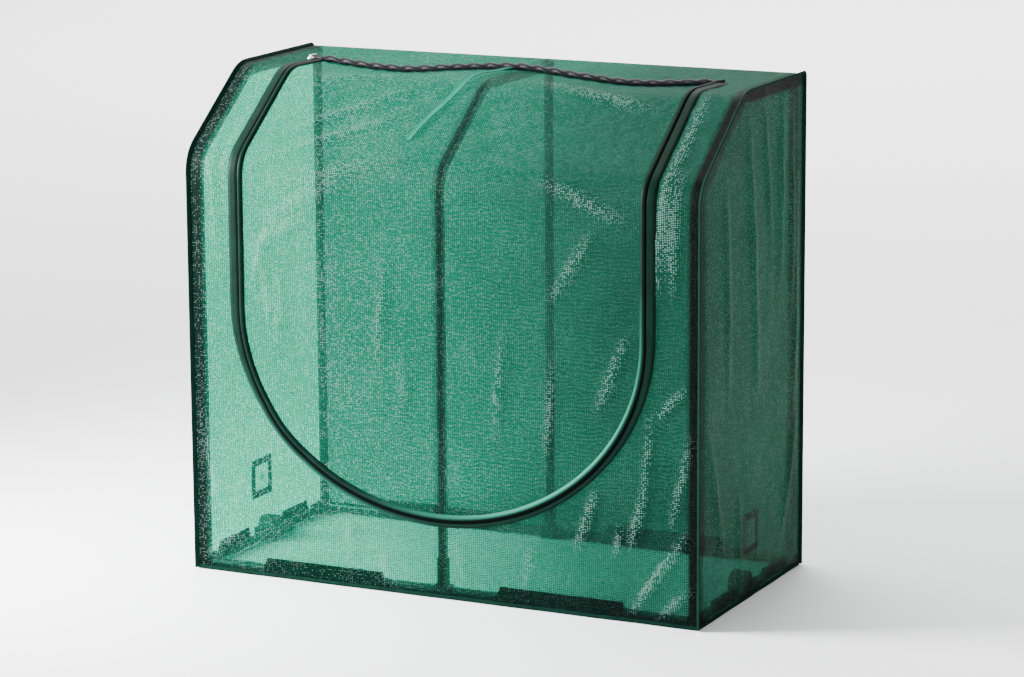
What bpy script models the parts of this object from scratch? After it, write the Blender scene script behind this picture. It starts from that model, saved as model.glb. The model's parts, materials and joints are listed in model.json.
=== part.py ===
"""Mini pop-up greenhouse: a folding tube frame under a knitted net cover.

Metres, +Z up, front towards -Y, origin on the ground under the middle of the base.
The front frame (three bent hoops and a base bar) carries the rear frame on three top hinges.
Two jointed base bars on each side hold the frames apart and fold upwards at a knuckle.
"""
import math

import bmesh
import bpy
from mathutils import Matrix, Vector

# Driving dimensions of the cover
WIDTH = 0.92
DEPTH = 0.44
HEIGHT = 0.84
SHOULDER_Z = 0.71
SHOULDER_DEPTH = 0.18
LOW_BEND_R = 0.060
TOP_BEND_R = 0.075
CLOTH = 0.0015
PANEL_GAP = 0.0005
GAP = 0.0003

# Tubes and where they run
TUBE_R = 0.008
TUBE_WALL = 0.0009
PLUG_R = TUBE_R - TUBE_WALL - 0.0004
TUBE_INSET = 0.0125
HOOP_X = WIDTH / 2 - TUBE_INSET
FRAME_Y = DEPTH / 2 - TUBE_INSET
HINGE_Z = HEIGHT - TUBE_INSET
BASE_Z = 0.0105
BLOCK = 0.020
BLOCK_TOP = 2 * BASE_Z
LEG_FOOT_Z = BLOCK_TOP + GAP
PLUG_LENGTH = 0.016

# Top hinges between the hoops and the rear posts
HINGE_BACK = 0.022
HINGE_R = 0.0100
HINGE_PIN_R = 0.0025
HINGE_HOLE_R = 0.0030
TONGUE_HALF = 0.0030
CHEEK_IN = 0.0033
CHEEK_OUT = 0.0063

# Folding base bars at the sides
SPREADER_R = 0.0065
SPREADER_WALL = 0.0008
SPREADER_PLUG_R = SPREADER_R - SPREADER_WALL - 0.0003
PIVOT_BACK = 0.030
PIVOT_Y = FRAME_Y - PIVOT_BACK
EYE_HALF = 0.0030
EYE_HOLE_R = 0.0036
PEG_R = 0.0030
LUG_IN = 0.0034
LUG_OUT = 0.0085
KNUCKLE_Z = 0.0225
KNUCKLE_R = 0.021
KNUCKLE_HALF = 0.0076
KNUCKLE_STEP = 0.0087
KNUCKLE_PLATE = 0.010
FRONT_TUBE_END = 0.034
REAR_TUBE_START = 0.056

# Tee fittings under the middle hoop
TEE_HALF = 0.015
TEE_SLEEVE_R = 0.0103
TEE_BORE_R = TUBE_R + GAP
TEE_TOP = 0.067

# Hook-and-loop tabs round the base bars
TAB_START = 0.135
TAB_END = 0.393
TAB_THICK = 0.0012
TAB_TOP = 0.032
TAB_CLEAR = 0.0004

# Door, its zip and the band across its top seam
DOOR_HALF = 0.368
DOOR_ARC_Z = 0.460
DOOR_ARC_RISE = 0.3266
ZIP_HALF = 0.011
ZIP_SPLIT = 0.0004
FRONT_PANEL_TOP = 0.665
BAND_Y = 0.075
BAND_HALF = 0.006
BAND_UNDER = 0.0030
BAND_OVER = 0.0020

# Zip slider and its puller
SLIDER_Y = 0.050
SLIDER_LENGTH = 0.013
SLIDER_WIDTH = 0.0095
SLIDER_HEIGHT = 0.0035
PULLER_LENGTH = 0.020
PULLER_WIDTH = 0.0055
PULLER_THICK = 0.0014
PULLER_PIN_R = 0.0010

# Tie tape on the door, and the square patch on each end panel
TIE_WIDTH = 0.010
TIE_THICK = 0.0012
TIE_DRIFT = -0.072
TIE_REACH = 0.255
PATCH = 0.070
PATCH_TAPE = 0.012
PATCH_Z = 0.110
PATCH_THICK = 0.0010

ROUND = 16
SIDES = {"left": -1, "right": 1}
ENDS = {"front": -1, "rear": 1}
HOOPS = {"left": -HOOP_X, "middle": 0.0, "right": HOOP_X}


# ---------------------------------------------------------------- materials

def material(name, colour, roughness, metallic=0.0):
    mat = bpy.data.materials.new(name)
    mat.use_nodes = True
    shader = mat.node_tree.nodes["Principled BSDF"]
    shader.inputs["Base Color"].default_value = (*colour, 1.0)
    shader.inputs["Roughness"].default_value = roughness
    shader.inputs["Metallic"].default_value = metallic
    return mat


def make_materials():
    return {
        "tube": material("tube", (0.010, 0.020, 0.017), 0.42),
        "fitting": material("fitting", (0.012, 0.014, 0.013), 0.50),
        "net": material("net", (0.012, 0.230, 0.140), 0.70),
        "band": material("band", (0.012, 0.012, 0.016), 0.45),
        "zip_tape": material("zip_tape", (0.010, 0.045, 0.030), 0.40),
        "door_tape": material("door_tape", (0.045, 0.180, 0.120), 0.60),
        "tie": material("tie", (0.020, 0.200, 0.110), 0.60),
        "tab": material("tab", (0.012, 0.050, 0.036), 0.80),
        "patch": material("patch", (0.012, 0.060, 0.042), 0.75),
        "slider": material("slider", (0.720, 0.720, 0.700), 0.28, 1.0),
        "rivet": material("rivet", (0.560, 0.560, 0.550), 0.32, 1.0),
    }


# ---------------------------------------------------------------- mesh helpers

def new_object(name, bm, mat, origin=(0.0, 0.0, 0.0)):
    """Turn a bmesh in world coordinates into an object whose origin is at the given point."""
    bmesh.ops.recalc_face_normals(bm, faces=bm.faces)
    bmesh.ops.translate(bm, vec=-Vector(origin), verts=bm.verts)
    mesh = bpy.data.meshes.new(name)
    bm.to_mesh(mesh)
    bm.free()
    mesh.materials.append(mat)
    mesh.shade_smooth()
    mesh.set_sharp_from_angle(angle=math.radians(35))
    obj = bpy.data.objects.new(name, mesh)
    obj.location = origin
    bpy.context.collection.objects.link(obj)
    return obj


def bridge_rings(bm, rings, closed=False):
    """Join rings of points with quads; an open run gets an end face on each side."""
    loops = [[bm.verts.new(p) for p in ring] for ring in rings]
    pairs = list(zip(loops, loops[1:]))
    if closed:
        pairs.append((loops[-1], loops[0]))
    for first, second in pairs:
        for i in range(len(first)):
            j = (i + 1) % len(first)
            bm.faces.new((first[i], first[j], second[j], second[i]))
    if not closed:
        bm.faces.new(loops[0])
        bm.faces.new(loops[-1])
    return bm


def prism(outline, start, along):
    """Extrude a flat outline of 3-D points, moved to start, by the vector along."""
    start = Vector(start)
    low = [start + Vector(p) for p in outline]
    high = [p + Vector(along) for p in low]
    return bridge_rings(bmesh.new(), [low, high])


def box(low, high, bevel=0.0):
    centre = (Vector(low) + Vector(high)) / 2
    size = Vector(high) - Vector(low)
    bm = bmesh.new()
    bmesh.ops.create_cube(bm, size=1.0, matrix=Matrix.Translation(centre) @ Matrix.Diagonal((*size, 1.0)))
    if bevel:
        bmesh.ops.bevel(bm, geom=bm.edges[:], offset=bevel, segments=1, affect="EDGES")
    return bm


def circle(centre, radius, normal, count=ROUND):
    """Points of a circle; normal is the letter of the axis that it is square to."""
    points = []
    for i in range(count):
        angle = 2 * math.pi * (i + 0.5) / count
        a, b = radius * math.cos(angle), radius * math.sin(angle)
        offset = {"X": (0.0, a, b), "Y": (a, 0.0, b), "Z": (a, b, 0.0)}[normal]
        points.append(Vector(centre) + Vector(offset))
    return points


def turned(centre, profile, axis, count=ROUND):
    """A turned solid: the profile lists (distance along the axis from the centre, radius)."""
    unit = {"X": Vector((1, 0, 0)), "Y": Vector((0, 1, 0)), "Z": Vector((0, 0, 1))}[axis]
    rings = [circle(Vector(centre) + unit * t, r, axis, count) for t, r in profile]
    return bridge_rings(bmesh.new(), rings)


def rod(centre, low, high, radius, axis, count=ROUND):
    return turned(centre, [(low, radius), (high, radius)], axis, count)


def tube_along(path, radius, wall, count=12):
    """A hollow tube with open ends along points in one plane x = constant."""
    outer, inner = [], []
    for i, point in enumerate(path):
        before = path[max(i - 1, 0)]
        after = path[min(i + 1, len(path) - 1)]
        tangent = (after - before).normalized()
        side = Vector((1.0, 0.0, 0.0))
        up = tangent.cross(side)
        if up.length < 0.5:
            side, up = Vector((0.0, 1.0, 0.0)), Vector((0.0, 0.0, 1.0))
        for ring, r in ((outer, radius), (inner, radius - wall)):
            angles = [2 * math.pi * (k + 0.5) / count for k in range(count)]
            ring.append([point + side * (r * math.cos(a)) + up * (r * math.sin(a)) for a in angles])
    return bridge_rings(bmesh.new(), outer + inner[::-1], closed=True)


def straight_tube(start, end, radius, wall):
    return tube_along([Vector(start), Vector(end)], radius, wall)


def combine(name, solid, others, mat, origin, operation="UNION"):
    """Join solids to the first one, or cut them from it, with exact Booleans."""
    target = new_object(name, solid, mat)
    for extra in others:
        tool = new_object(name + "_tool", extra, mat)
        target = apply_boolean(target, tool, operation)
    for vertex in target.data.vertices:
        vertex.co -= Vector(origin)
    target.location = origin
    return target


def apply_boolean(target, tool, operation):
    modifier = target.modifiers.new("join", "BOOLEAN")
    modifier.operation = operation
    modifier.solver = "EXACT"
    modifier.object = tool
    bpy.context.view_layer.update()
    evaluated = target.evaluated_get(bpy.context.evaluated_depsgraph_get())
    result = bpy.data.meshes.new_from_object(evaluated)
    result.name = target.name
    target.modifiers.clear()
    old = target.data
    target.data = result
    bpy.data.meshes.remove(old)
    tool_mesh = tool.data
    bpy.data.objects.remove(tool)
    bpy.data.meshes.remove(tool_mesh)
    return target


def drill(target, tool_solid):
    origin = target.location.copy()
    tool = new_object("drill_tool", tool_solid, target.data.materials[0])
    apply_boolean(target, tool, "DIFFERENCE")
    target.location = origin
    return target


# ---------------------------------------------------------------- the cover's side profile

def bend(corner, before, after, radius):
    """Centre, tangent length and turning angle of an arc in a corner of the profile."""
    inward = (corner - before).normalized()
    outward = (after - corner).normalized()
    turn = inward.angle(outward)
    tangent = radius * math.tan(turn / 2)
    start = corner - inward * tangent
    normal = Vector((inward.y, -inward.x))
    return {"start": start, "centre": start + normal * radius, "turn": turn, "radius": radius,
            "inward": inward, "outward": outward, "end": corner + outward * tangent}


FOOT = Vector((-DEPTH / 2, 0.0))
LOW_CORNER = Vector((-DEPTH / 2, SHOULDER_Z))
TOP_CORNER = Vector((-DEPTH / 2 + SHOULDER_DEPTH, HEIGHT))
BACK_CORNER = Vector((DEPTH / 2, HEIGHT))
LOW_BEND = bend(LOW_CORNER, FOOT, TOP_CORNER, LOW_BEND_R)
TOP_BEND = bend(TOP_CORNER, LOW_CORNER, BACK_CORNER, TOP_BEND_R)
S_LOW = (LOW_BEND["start"] - FOOT).length
S_SLOPE = S_LOW + LOW_BEND["turn"] * LOW_BEND_R
S_TOP = S_SLOPE + (TOP_BEND["start"] - LOW_BEND["end"]).length
S_FLAT = S_TOP + TOP_BEND["turn"] * TOP_BEND_R


def profile_at(s):
    """Point and outward normal, as (y, z), at distance s up the cover from the front foot."""
    if s <= S_LOW:
        return FOOT + Vector((0.0, s)), Vector((-1.0, 0.0))
    if s <= S_SLOPE:
        return bend_point(LOW_BEND, (s - S_LOW) / LOW_BEND_R)
    if s <= S_TOP:
        direction = LOW_BEND["outward"]
        return LOW_BEND["end"] + direction * (s - S_SLOPE), Vector((-direction.y, direction.x))
    if s <= S_FLAT:
        return bend_point(TOP_BEND, (s - S_TOP) / TOP_BEND_R)
    return TOP_BEND["end"] + Vector((s - S_FLAT, 0.0)), Vector((0.0, 1.0))


def bend_point(arc, turned_by):
    inward = arc["inward"]
    normal = Vector((-inward.y, inward.x))
    normal.rotate(Matrix.Rotation(-turned_by, 2))
    return arc["centre"] + normal * arc["radius"], normal


def on_cover(x, s, inset=0.0):
    point, normal = profile_at(s)
    point = point - normal * inset
    return Vector((x, point.x, point.y))


def s_on_roof(y):
    return S_FLAT + y - TOP_BEND["end"].x


def profile_steps(low, high, arc_steps=5):
    """Distances up the cover from low to high, with extra ones round both bends."""
    stops = [low]
    for start, end in ((S_LOW, S_SLOPE), (S_TOP, S_FLAT)):
        stops += [start + (end - start) * k / arc_steps for k in range(arc_steps + 1)]
    stops.append(high)
    return [s for s in stops if low <= s <= high]


def sheet_ring(left, right, s, outer=0.0, inner=CLOTH):
    return [on_cover(left, s, outer), on_cover(right, s, outer),
            on_cover(right, s, inner), on_cover(left, s, inner)]


# ---------------------------------------------------------------- tube frame

def make_hoop(side, x, mats):
    steps = profile_steps(LEG_FOOT_Z, s_on_roof(FRAME_Y - HINGE_BACK), arc_steps=6)
    path = [on_cover(x, s, TUBE_INSET) for s in steps]
    new_object(f"hoop_{side}", tube_along(path, TUBE_R, TUBE_WALL), mats["tube"], (x, -FRAME_Y, 0.0))


def make_rear_post(side, x, mats):
    low = (x, FRAME_Y, LEG_FOOT_Z)
    high = (x, FRAME_Y, HINGE_Z - HINGE_BACK)
    new_object(f"rear_post_{side}", straight_tube(low, high, TUBE_R, TUBE_WALL), mats["tube"],
               (x, FRAME_Y, HINGE_Z))


def make_base_bar(end, side, mats):
    sign = SIDES[side]
    y = ENDS[end] * FRAME_Y
    inner = sign * (TEE_HALF + GAP)
    outer = sign * (HOOP_X - BLOCK / 2 - GAP)
    solid = straight_tube((min(inner, outer), y, BASE_Z), (max(inner, outer), y, BASE_Z), TUBE_R, TUBE_WALL)
    new_object(f"{end}_bar_{side}", solid, mats["tube"], (0.0, y, BASE_Z))


def make_corner(end, side, mats):
    """Moulded corner block: plugs for the upright and the bar, and a fork with a peg for the side bar."""
    sign, front = SIDES[side], ENDS[end]
    x, y = sign * HOOP_X, front * FRAME_Y
    half = BLOCK / 2
    body = box((x - half, y - half, 0.0), (x + half, y + half, BLOCK_TOP), bevel=0.0012)
    upright = rod((x, y, 0.0), BLOCK_TOP - 0.001, BLOCK_TOP + PLUG_LENGTH, PLUG_R, "Z")
    reach = sorted((-sign * (half - 0.001), -sign * (half + PLUG_LENGTH)))
    plug = rod((x, y, BASE_Z), reach[0], reach[1], PLUG_R, "X")
    pivot_y = front * PIVOT_Y
    span = sorted((y - front * (half - 0.001), pivot_y - front * 0.007))
    extras = [upright, plug]
    for cheek in (-1, 1):
        edges = sorted((x + cheek * LUG_IN, x + cheek * LUG_OUT))
        extras.append(box((edges[0], span[0], 0.0025), (edges[1], span[1], 0.0185)))
    extras.append(rod((x, pivot_y, BASE_Z), -LUG_IN - 0.001, LUG_IN + 0.001, PEG_R, "X", 12))
    combine(f"{end}_corner_{side}", body, extras, mats["fitting"], (x, y, BASE_Z))


def make_tee(end, mats):
    """Moulded tee: a sleeve for the middle upright and a plug for the bar on each side."""
    y = ENDS[end] * FRAME_Y
    half = BLOCK / 2
    body = box((-TEE_HALF, y - half, 0.0), (TEE_HALF, y + half, BLOCK_TOP), bevel=0.0012)
    sleeve = turned((0.0, y, 0.0), [(BLOCK_TOP - 0.002, TEE_SLEEVE_R), (TEE_TOP - 0.0012, TEE_SLEEVE_R),
                                    (TEE_TOP, TEE_SLEEVE_R - 0.0008)], "Z")
    plugs = rod((0.0, y, BASE_Z), -TEE_HALF - PLUG_LENGTH, TEE_HALF + PLUG_LENGTH, PLUG_R, "X")
    tee = combine(f"{end}_tee", body, [sleeve, plugs], mats["fitting"], (0.0, 0.0, 0.0))
    drill(tee, rod((0.0, y, 0.0), BLOCK_TOP, TEE_TOP + 0.01, TEE_BORE_R, "Z"))


def make_hinge_fork(side, x, mats):
    """Plug in the hoop's rear end with two cheeks that carry the hinge pin."""
    hoop_end = FRAME_Y - HINGE_BACK
    centre = (x, 0.0, HINGE_Z)
    plug = turned(centre, [(hoop_end - PLUG_LENGTH, PLUG_R), (hoop_end + GAP, PLUG_R),
                           (hoop_end + GAP, TUBE_R), (FRAME_Y - HINGE_R - 0.001, TUBE_R)], "Y")
    extras = []
    for cheek in (-1, 1):
        low, high = sorted((x + cheek * CHEEK_IN, x + cheek * CHEEK_OUT))
        extras.append(box((low, FRAME_Y - HINGE_R - 0.003, HINGE_Z - 0.0075),
                          (high, FRAME_Y, HINGE_Z + 0.0075)))
        extras.append(rod((0.0, FRAME_Y, HINGE_Z), low, high, HINGE_R, "X"))
    fork = combine(f"hinge_fork_{side}", plug, extras, mats["fitting"], (0.0, 0.0, 0.0))
    drill(fork, rod((x, FRAME_Y, HINGE_Z), -0.010, 0.010, HINGE_HOLE_R, "X"))


def make_hinge_tongue(side, x, mats):
    """Plug in the rear post's top with the tongue that turns on the hinge pin."""
    post_top = HINGE_Z - HINGE_BACK
    plug = turned((x, FRAME_Y, 0.0), [(post_top - PLUG_LENGTH, PLUG_R), (post_top + GAP, PLUG_R),
                                      (post_top + GAP, TUBE_R), (HINGE_Z - HINGE_R - 0.0025, TUBE_R)], "Z")
    neck = box((x - TONGUE_HALF, FRAME_Y - 0.0075, HINGE_Z - HINGE_R - 0.004),
               (x + TONGUE_HALF, FRAME_Y + 0.0075, HINGE_Z))
    eye = rod((x, FRAME_Y, HINGE_Z), -TONGUE_HALF, TONGUE_HALF, HINGE_R, "X")
    tongue = combine(f"hinge_tongue_{side}", plug, [neck, eye], mats["fitting"], (0.0, 0.0, 0.0))
    drill(tongue, rod((x, FRAME_Y, HINGE_Z), -0.010, 0.010, HINGE_HOLE_R, "X"))


def make_hinge_pin(side, x, mats):
    head = CHEEK_OUT + GAP
    profile = [(-head - 0.001, HINGE_PIN_R + 0.0012), (-head, HINGE_PIN_R + 0.0012), (-head, HINGE_PIN_R),
               (head, HINGE_PIN_R), (head, HINGE_PIN_R + 0.0012), (head + 0.001, HINGE_PIN_R + 0.0012)]
    new_object(f"hinge_pin_{side}", turned((x, FRAME_Y, HINGE_Z), profile, "X", 12), mats["rivet"],
               (x, FRAME_Y, HINGE_Z))


# ---------------------------------------------------------------- folding side bars

def make_spreader(end, side, mats):
    """Side base bar with one end pressed flat and drilled for the corner's peg."""
    x = SIDES[side] * HOOP_X
    front = ENDS[end]
    pivot_y = front * PIVOT_Y
    tube_end = FRONT_TUBE_END if end == "front" else REAR_TUBE_START
    run = sorted((pivot_y - front * 0.014, front * tube_end))
    body = straight_tube((x, run[0], BASE_Z), (x, run[1], BASE_Z), SPREADER_R, SPREADER_WALL)
    flat = sorted((pivot_y, pivot_y - front * 0.018))
    tab = box((x - EYE_HALF, flat[0], BASE_Z - 0.0060), (x + EYE_HALF, flat[1], BASE_Z + 0.0060))
    eye = rod((x, pivot_y, BASE_Z), -EYE_HALF, EYE_HALF, 0.0063, "X")
    bar = combine(f"{end}_side_bar_{side}", body, [tab, eye], mats["tube"], (x, pivot_y, BASE_Z))
    bar.data.transform(Matrix.Translation((x, pivot_y, BASE_Z)))
    bar.location = (0.0, 0.0, 0.0)
    drill(bar, rod((x, pivot_y, BASE_Z), -0.010, 0.010, EYE_HOLE_R, "X"))


def make_front_knuckle(side, mats):
    """Moulded disc on the front side bar, in line with its tube."""
    x = SIDES[side] * HOOP_X
    tube_end = -FRONT_TUBE_END
    disc = rod((x, 0.0, KNUCKLE_Z), -KNUCKLE_HALF, KNUCKLE_HALF, KNUCKLE_R, "X", 24)
    plug = rod((x, 0.0, BASE_Z), tube_end - PLUG_LENGTH, tube_end + 0.004, SPREADER_PLUG_R, "Y", 12)
    arm = box((x - KNUCKLE_HALF, tube_end + GAP, BASE_Z - 0.0064), (x + KNUCKLE_HALF, 0.0, BASE_Z + 0.016))
    cap = turned((x, 0.0, KNUCKLE_Z), [(-0.001, 0.0075), (KNUCKLE_HALF + 0.0006, 0.0075),
                                       (KNUCKLE_HALF + 0.0012, 0.0060)], "X")
    if SIDES[side] < 0:
        bmesh.ops.transform(cap, matrix=Matrix.Translation((2 * x, 0, 0)) @ Matrix.Diagonal((-1, 1, 1, 1)),
                            verts=cap.verts)
    combine(f"front_knuckle_{side}", disc, [plug, arm, cap], mats["fitting"], (x, -PIVOT_Y, BASE_Z))


def make_rear_knuckle(side, mats):
    """Moulded disc on the rear side bar, inboard of the front one, with an arm out to its tube."""
    sign = SIDES[side]
    x = sign * HOOP_X
    near = x - sign * KNUCKLE_STEP
    far = near - sign * KNUCKLE_PLATE
    low, high = sorted((near, far))
    disc = rod((0.0, 0.0, KNUCKLE_Z), low, high, KNUCKLE_R, "X", 24)
    arm = box((low, 0.0, BASE_Z - 0.0064), (high, REAR_TUBE_START - GAP, BASE_Z + 0.014))
    edges = sorted((far, x + sign * SPREADER_R))
    bridge = box((edges[0], REAR_TUBE_START - 0.009, BASE_Z - 0.0064),
                 (edges[1], REAR_TUBE_START - GAP, BASE_Z + 0.0064))
    plug = rod((x, 0.0, BASE_Z), REAR_TUBE_START - 0.004, REAR_TUBE_START + PLUG_LENGTH,
               SPREADER_PLUG_R, "Y", 12)
    combine(f"rear_knuckle_{side}", disc, [arm, bridge, plug], mats["fitting"], (x, PIVOT_Y, BASE_Z))


# ---------------------------------------------------------------- hook-and-loop tabs

def tab_profile(bar_r):
    """Closed section of a strip that hangs beside a bar and wraps under and over it.

    The first coordinate points outwards from the greenhouse, the second up, from the bar's axis.
    """
    inner, outer = bar_r + TAB_CLEAR, bar_r + TAB_CLEAR + TAB_THICK
    rise = TAB_TOP - BASE_Z
    steps, sweep = 12, math.radians(225)
    arc = [-sweep * k / steps for k in range(steps + 1)]
    outside = [(outer * math.cos(a), outer * math.sin(a)) for a in arc]
    inside = [(inner * math.cos(a), inner * math.sin(a)) for a in arc]
    return [(inner, rise), (outer, rise)] + outside + inside[::-1]


def make_cross_tab(end, side, mats):
    """Tab round the front or rear base bar."""
    sign, front = SIDES[side], ENDS[end]
    start, stop = sorted((sign * (0.5 - TAB_START) * WIDTH, sign * (0.5 - TAB_END) * WIDTH))
    outline = [(0.0, front * (FRAME_Y + out), BASE_Z + up) for out, up in tab_profile(TUBE_R)]
    new_object(f"{end}_tab_{side}", prism(outline, (start, 0.0, 0.0), (stop - start, 0.0, 0.0)), mats["tab"],
               (0.0, front * FRAME_Y, BASE_Z))


def make_side_tab(end, side, mats):
    """Tab round one of the folding side bars."""
    sign, front = SIDES[side], ENDS[end]
    inner = (0.5 - TAB_END) * DEPTH if end == "front" else REAR_TUBE_START + 0.002
    start, stop = sorted((front * (0.5 - TAB_START) * DEPTH, front * inner))
    outline = [(sign * (HOOP_X + out), 0.0, BASE_Z + up) for out, up in tab_profile(SPREADER_R)]
    new_object(f"{end}_side_tab_{side}", prism(outline, (0.0, start, 0.0), (0.0, stop - start, 0.0)),
               mats["tab"], (sign * HOOP_X, front * PIVOT_Y, BASE_Z))


# ---------------------------------------------------------------- net cover

def door_edge(extra=0.0):
    """Points (x, s) down the right edge of the door to its lowest point, moved outwards by extra."""
    sides = [s for s in profile_steps(DOOR_ARC_Z, s_on_roof(BAND_Y - BAND_HALF)) if s > DOOR_ARC_Z][::-1]
    points = [(DOOR_HALF + extra, s) for s in sides]
    arc_steps = 14
    for k in range(arc_steps + 1):
        angle = math.pi / 2 * k / arc_steps
        normal = Vector((math.cos(angle) / DOOR_HALF, -math.sin(angle) / DOOR_ARC_RISE)).normalized()
        x = DOOR_HALF * math.cos(angle) + normal.x * extra
        z = DOOR_ARC_Z - DOOR_ARC_RISE * math.sin(angle) + normal.y * extra
        points.append((max(x, 0.0), z))
    return points


def make_front_panel(mats):
    """Net below and beside the door, flat, up to just under the shoulder."""
    half = WIDTH / 2 - CLOTH - PANEL_GAP
    arc = [(x, s) for x, s in door_edge(ZIP_HALF + PANEL_GAP) if s < FRONT_PANEL_TOP]
    right = [(half, 0.001), (half, FRONT_PANEL_TOP), (arc[0][0], FRONT_PANEL_TOP)] + arc
    left = [(-x, z) for x, z in right[:-1]][::-1]
    outline = [(x, -DEPTH / 2, z) for x, z in right + left]
    new_object("front_panel", prism(outline, (0.0, 0.0, 0.0), (0.0, CLOTH, 0.0)), mats["net"],
               (0.0, -DEPTH / 2, 0.0))


def make_shoulder_panel(side, mats):
    """Net beside the door over the shoulder and the front of the roof."""
    sign = SIDES[side]
    edges = sorted((sign * (DOOR_HALF + ZIP_HALF + PANEL_GAP), sign * (WIDTH / 2 - CLOTH - PANEL_GAP)))
    steps = profile_steps(FRONT_PANEL_TOP + PANEL_GAP, s_on_roof(BAND_Y + BAND_HALF))
    rings = [sheet_ring(edges[0], edges[1], s) for s in steps]
    new_object(f"shoulder_panel_{side}", bridge_rings(bmesh.new(), rings), mats["net"],
               (0.0, -DEPTH / 2, SHOULDER_Z))


def make_roof_panel(mats):
    half = WIDTH / 2 - CLOTH - PANEL_GAP
    front = BAND_Y + BAND_HALF + PANEL_GAP
    solid = box((-half, front, HEIGHT - CLOTH), (half, DEPTH / 2, HEIGHT))
    new_object("roof_panel", solid, mats["net"], (0.0, DEPTH / 2, HEIGHT))


def make_rear_panel(mats):
    """Net between the rear posts, narrow enough to swing inside the patches on the end panels."""
    half = WIDTH / 2 - CLOTH - PANEL_GAP - 1.5 * PATCH_THICK
    solid = box((-half, DEPTH / 2 - CLOTH, 0.001), (half, DEPTH / 2, HEIGHT - CLOTH - PANEL_GAP))
    new_object("rear_panel", solid, mats["net"], (0.0, FRAME_Y, HINGE_Z))


def make_end_panel(side, mats):
    x = SIDES[side] * (WIDTH / 2 - CLOTH)
    steps = profile_steps(0.001, s_on_roof(DEPTH / 2))
    outline = [(0.0, p.y, p.z) for p in (on_cover(0.0, s) for s in steps)]
    outline.append((0.0, DEPTH / 2, 0.001))
    solid = prism(outline, (x, 0.0, 0.0), (SIDES[side] * CLOTH, 0.0, 0.0))
    new_object(f"end_panel_{side}", solid, mats["net"], (x, DEPTH / 2, HEIGHT))


def make_port_patch(side, mats):
    """Square of tape round the watering port, inside the end panel."""
    sign = SIDES[side]
    face = sign * (WIDTH / 2 - CLOTH - PANEL_GAP)
    rings = []
    for half in (PATCH / 2, PATCH / 2 - PATCH_TAPE):
        corners = [(-half, -half), (half, -half), (half, half), (-half, half)]
        rings.append([Vector((face, a, PATCH_Z + b)) for a, b in corners])
        rings.append([Vector((face - sign * PATCH_THICK, a, PATCH_Z + b)) for a, b in corners])
    order = [rings[0], rings[1], rings[3], rings[2]]
    new_object(f"port_patch_{side}", bridge_rings(bmesh.new(), order, closed=True), mats["patch"],
               (face, 0.0, PATCH_Z))


# ---------------------------------------------------------------- door and zip

def door_hinge():
    return (0.0, BAND_Y - BAND_HALF, HEIGHT)


def make_door_panel(mats):
    """Net inside the zip: flat on the roof, down the slope and the front to the round end."""
    edge = door_edge(-ZIP_HALF - PANEL_GAP)[:-1]
    rings = [sheet_ring(-x, x, s) for x, s in edge]
    new_object("door_panel", bridge_rings(bmesh.new(), rings), mats["net"], door_hinge())


def zip_strip(name, low, high, mat):
    """A tape that follows the door's edge all round, between two distances outwards from it."""
    right_low, right_high = door_edge(low), door_edge(high)
    rings = []
    for sign, order in ((1, 1), (-1, -1)):
        pairs = list(zip(right_low, right_high))[::order]
        for (xa, sa), (xb, sb) in pairs:
            if sign < 0 and len(rings) and xa == 0.0:
                continue
            rings.append([on_cover(sign * xa, sa), on_cover(sign * xb, sb),
                          on_cover(sign * xb, sb, CLOTH), on_cover(sign * xa, sa, CLOTH)])
    return new_object(name, bridge_rings(bmesh.new(), rings), mat, door_hinge())


def make_zip(mats):
    zip_strip("zip_frame_tape", ZIP_SPLIT, ZIP_HALF, mats["zip_tape"])
    zip_strip("zip_door_tape", -ZIP_HALF, -ZIP_SPLIT, mats["door_tape"])


def make_top_band(mats):
    half = BAND_HALF - PANEL_GAP
    low = (-DOOR_HALF - ZIP_HALF, BAND_Y - half, HEIGHT - BAND_UNDER)
    high = (DOOR_HALF + ZIP_HALF, BAND_Y + half, HEIGHT + BAND_OVER)
    new_object("top_band", box(low, high, bevel=0.0012), mats["band"], (0.0, BAND_Y, HEIGHT))


def make_tie_tape(mats):
    """Flat tape sewn at the band and lying down the slope of the door."""
    start, stop = s_on_roof(BAND_Y - BAND_HALF - 0.002), s_on_roof(BAND_Y) - TIE_REACH
    steps = profile_steps(stop, start)
    rings = []
    for s in steps:
        x = TIE_DRIFT * (start - s) / TIE_REACH
        rings.append(sheet_ring(x - TIE_WIDTH / 2, x + TIE_WIDTH / 2, s, -GAP - TIE_THICK, -GAP))
    new_object("tie_tape", bridge_rings(bmesh.new(), rings), mats["tie"], door_hinge())


def make_slider(mats):
    """Zip slider on the tape at the left end of the zip."""
    x = -DOOR_HALF - ZIP_SPLIT - 0.0006 - SLIDER_WIDTH / 2
    low = (x - SLIDER_WIDTH / 2, SLIDER_Y - SLIDER_LENGTH / 2, HEIGHT + GAP)
    high = (x + SLIDER_WIDTH / 2, SLIDER_Y + SLIDER_LENGTH / 2, HEIGHT + GAP + SLIDER_HEIGHT)
    body = box(low, high, bevel=0.0010)
    axle_z = HEIGHT + SLIDER_HEIGHT + 0.0026
    posts = []
    for cheek in (-1, 1):
        edges = sorted((x + cheek * (PULLER_WIDTH / 2 + 0.0002), x + cheek * (PULLER_WIDTH / 2 + 0.0014)))
        posts.append(box((edges[0], SLIDER_Y - 0.0020, high[2] - 0.001),
                         (edges[1], SLIDER_Y + 0.0020, axle_z + 0.0015)))
    posts.append(rod((x, SLIDER_Y, axle_z), -PULLER_WIDTH / 2 - 0.0006, PULLER_WIDTH / 2 + 0.0006,
                     PULLER_PIN_R, "X", 10))
    combine("zip_slider", body, posts, mats["slider"], (x, SLIDER_Y, HEIGHT))
    return x, axle_z


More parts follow.
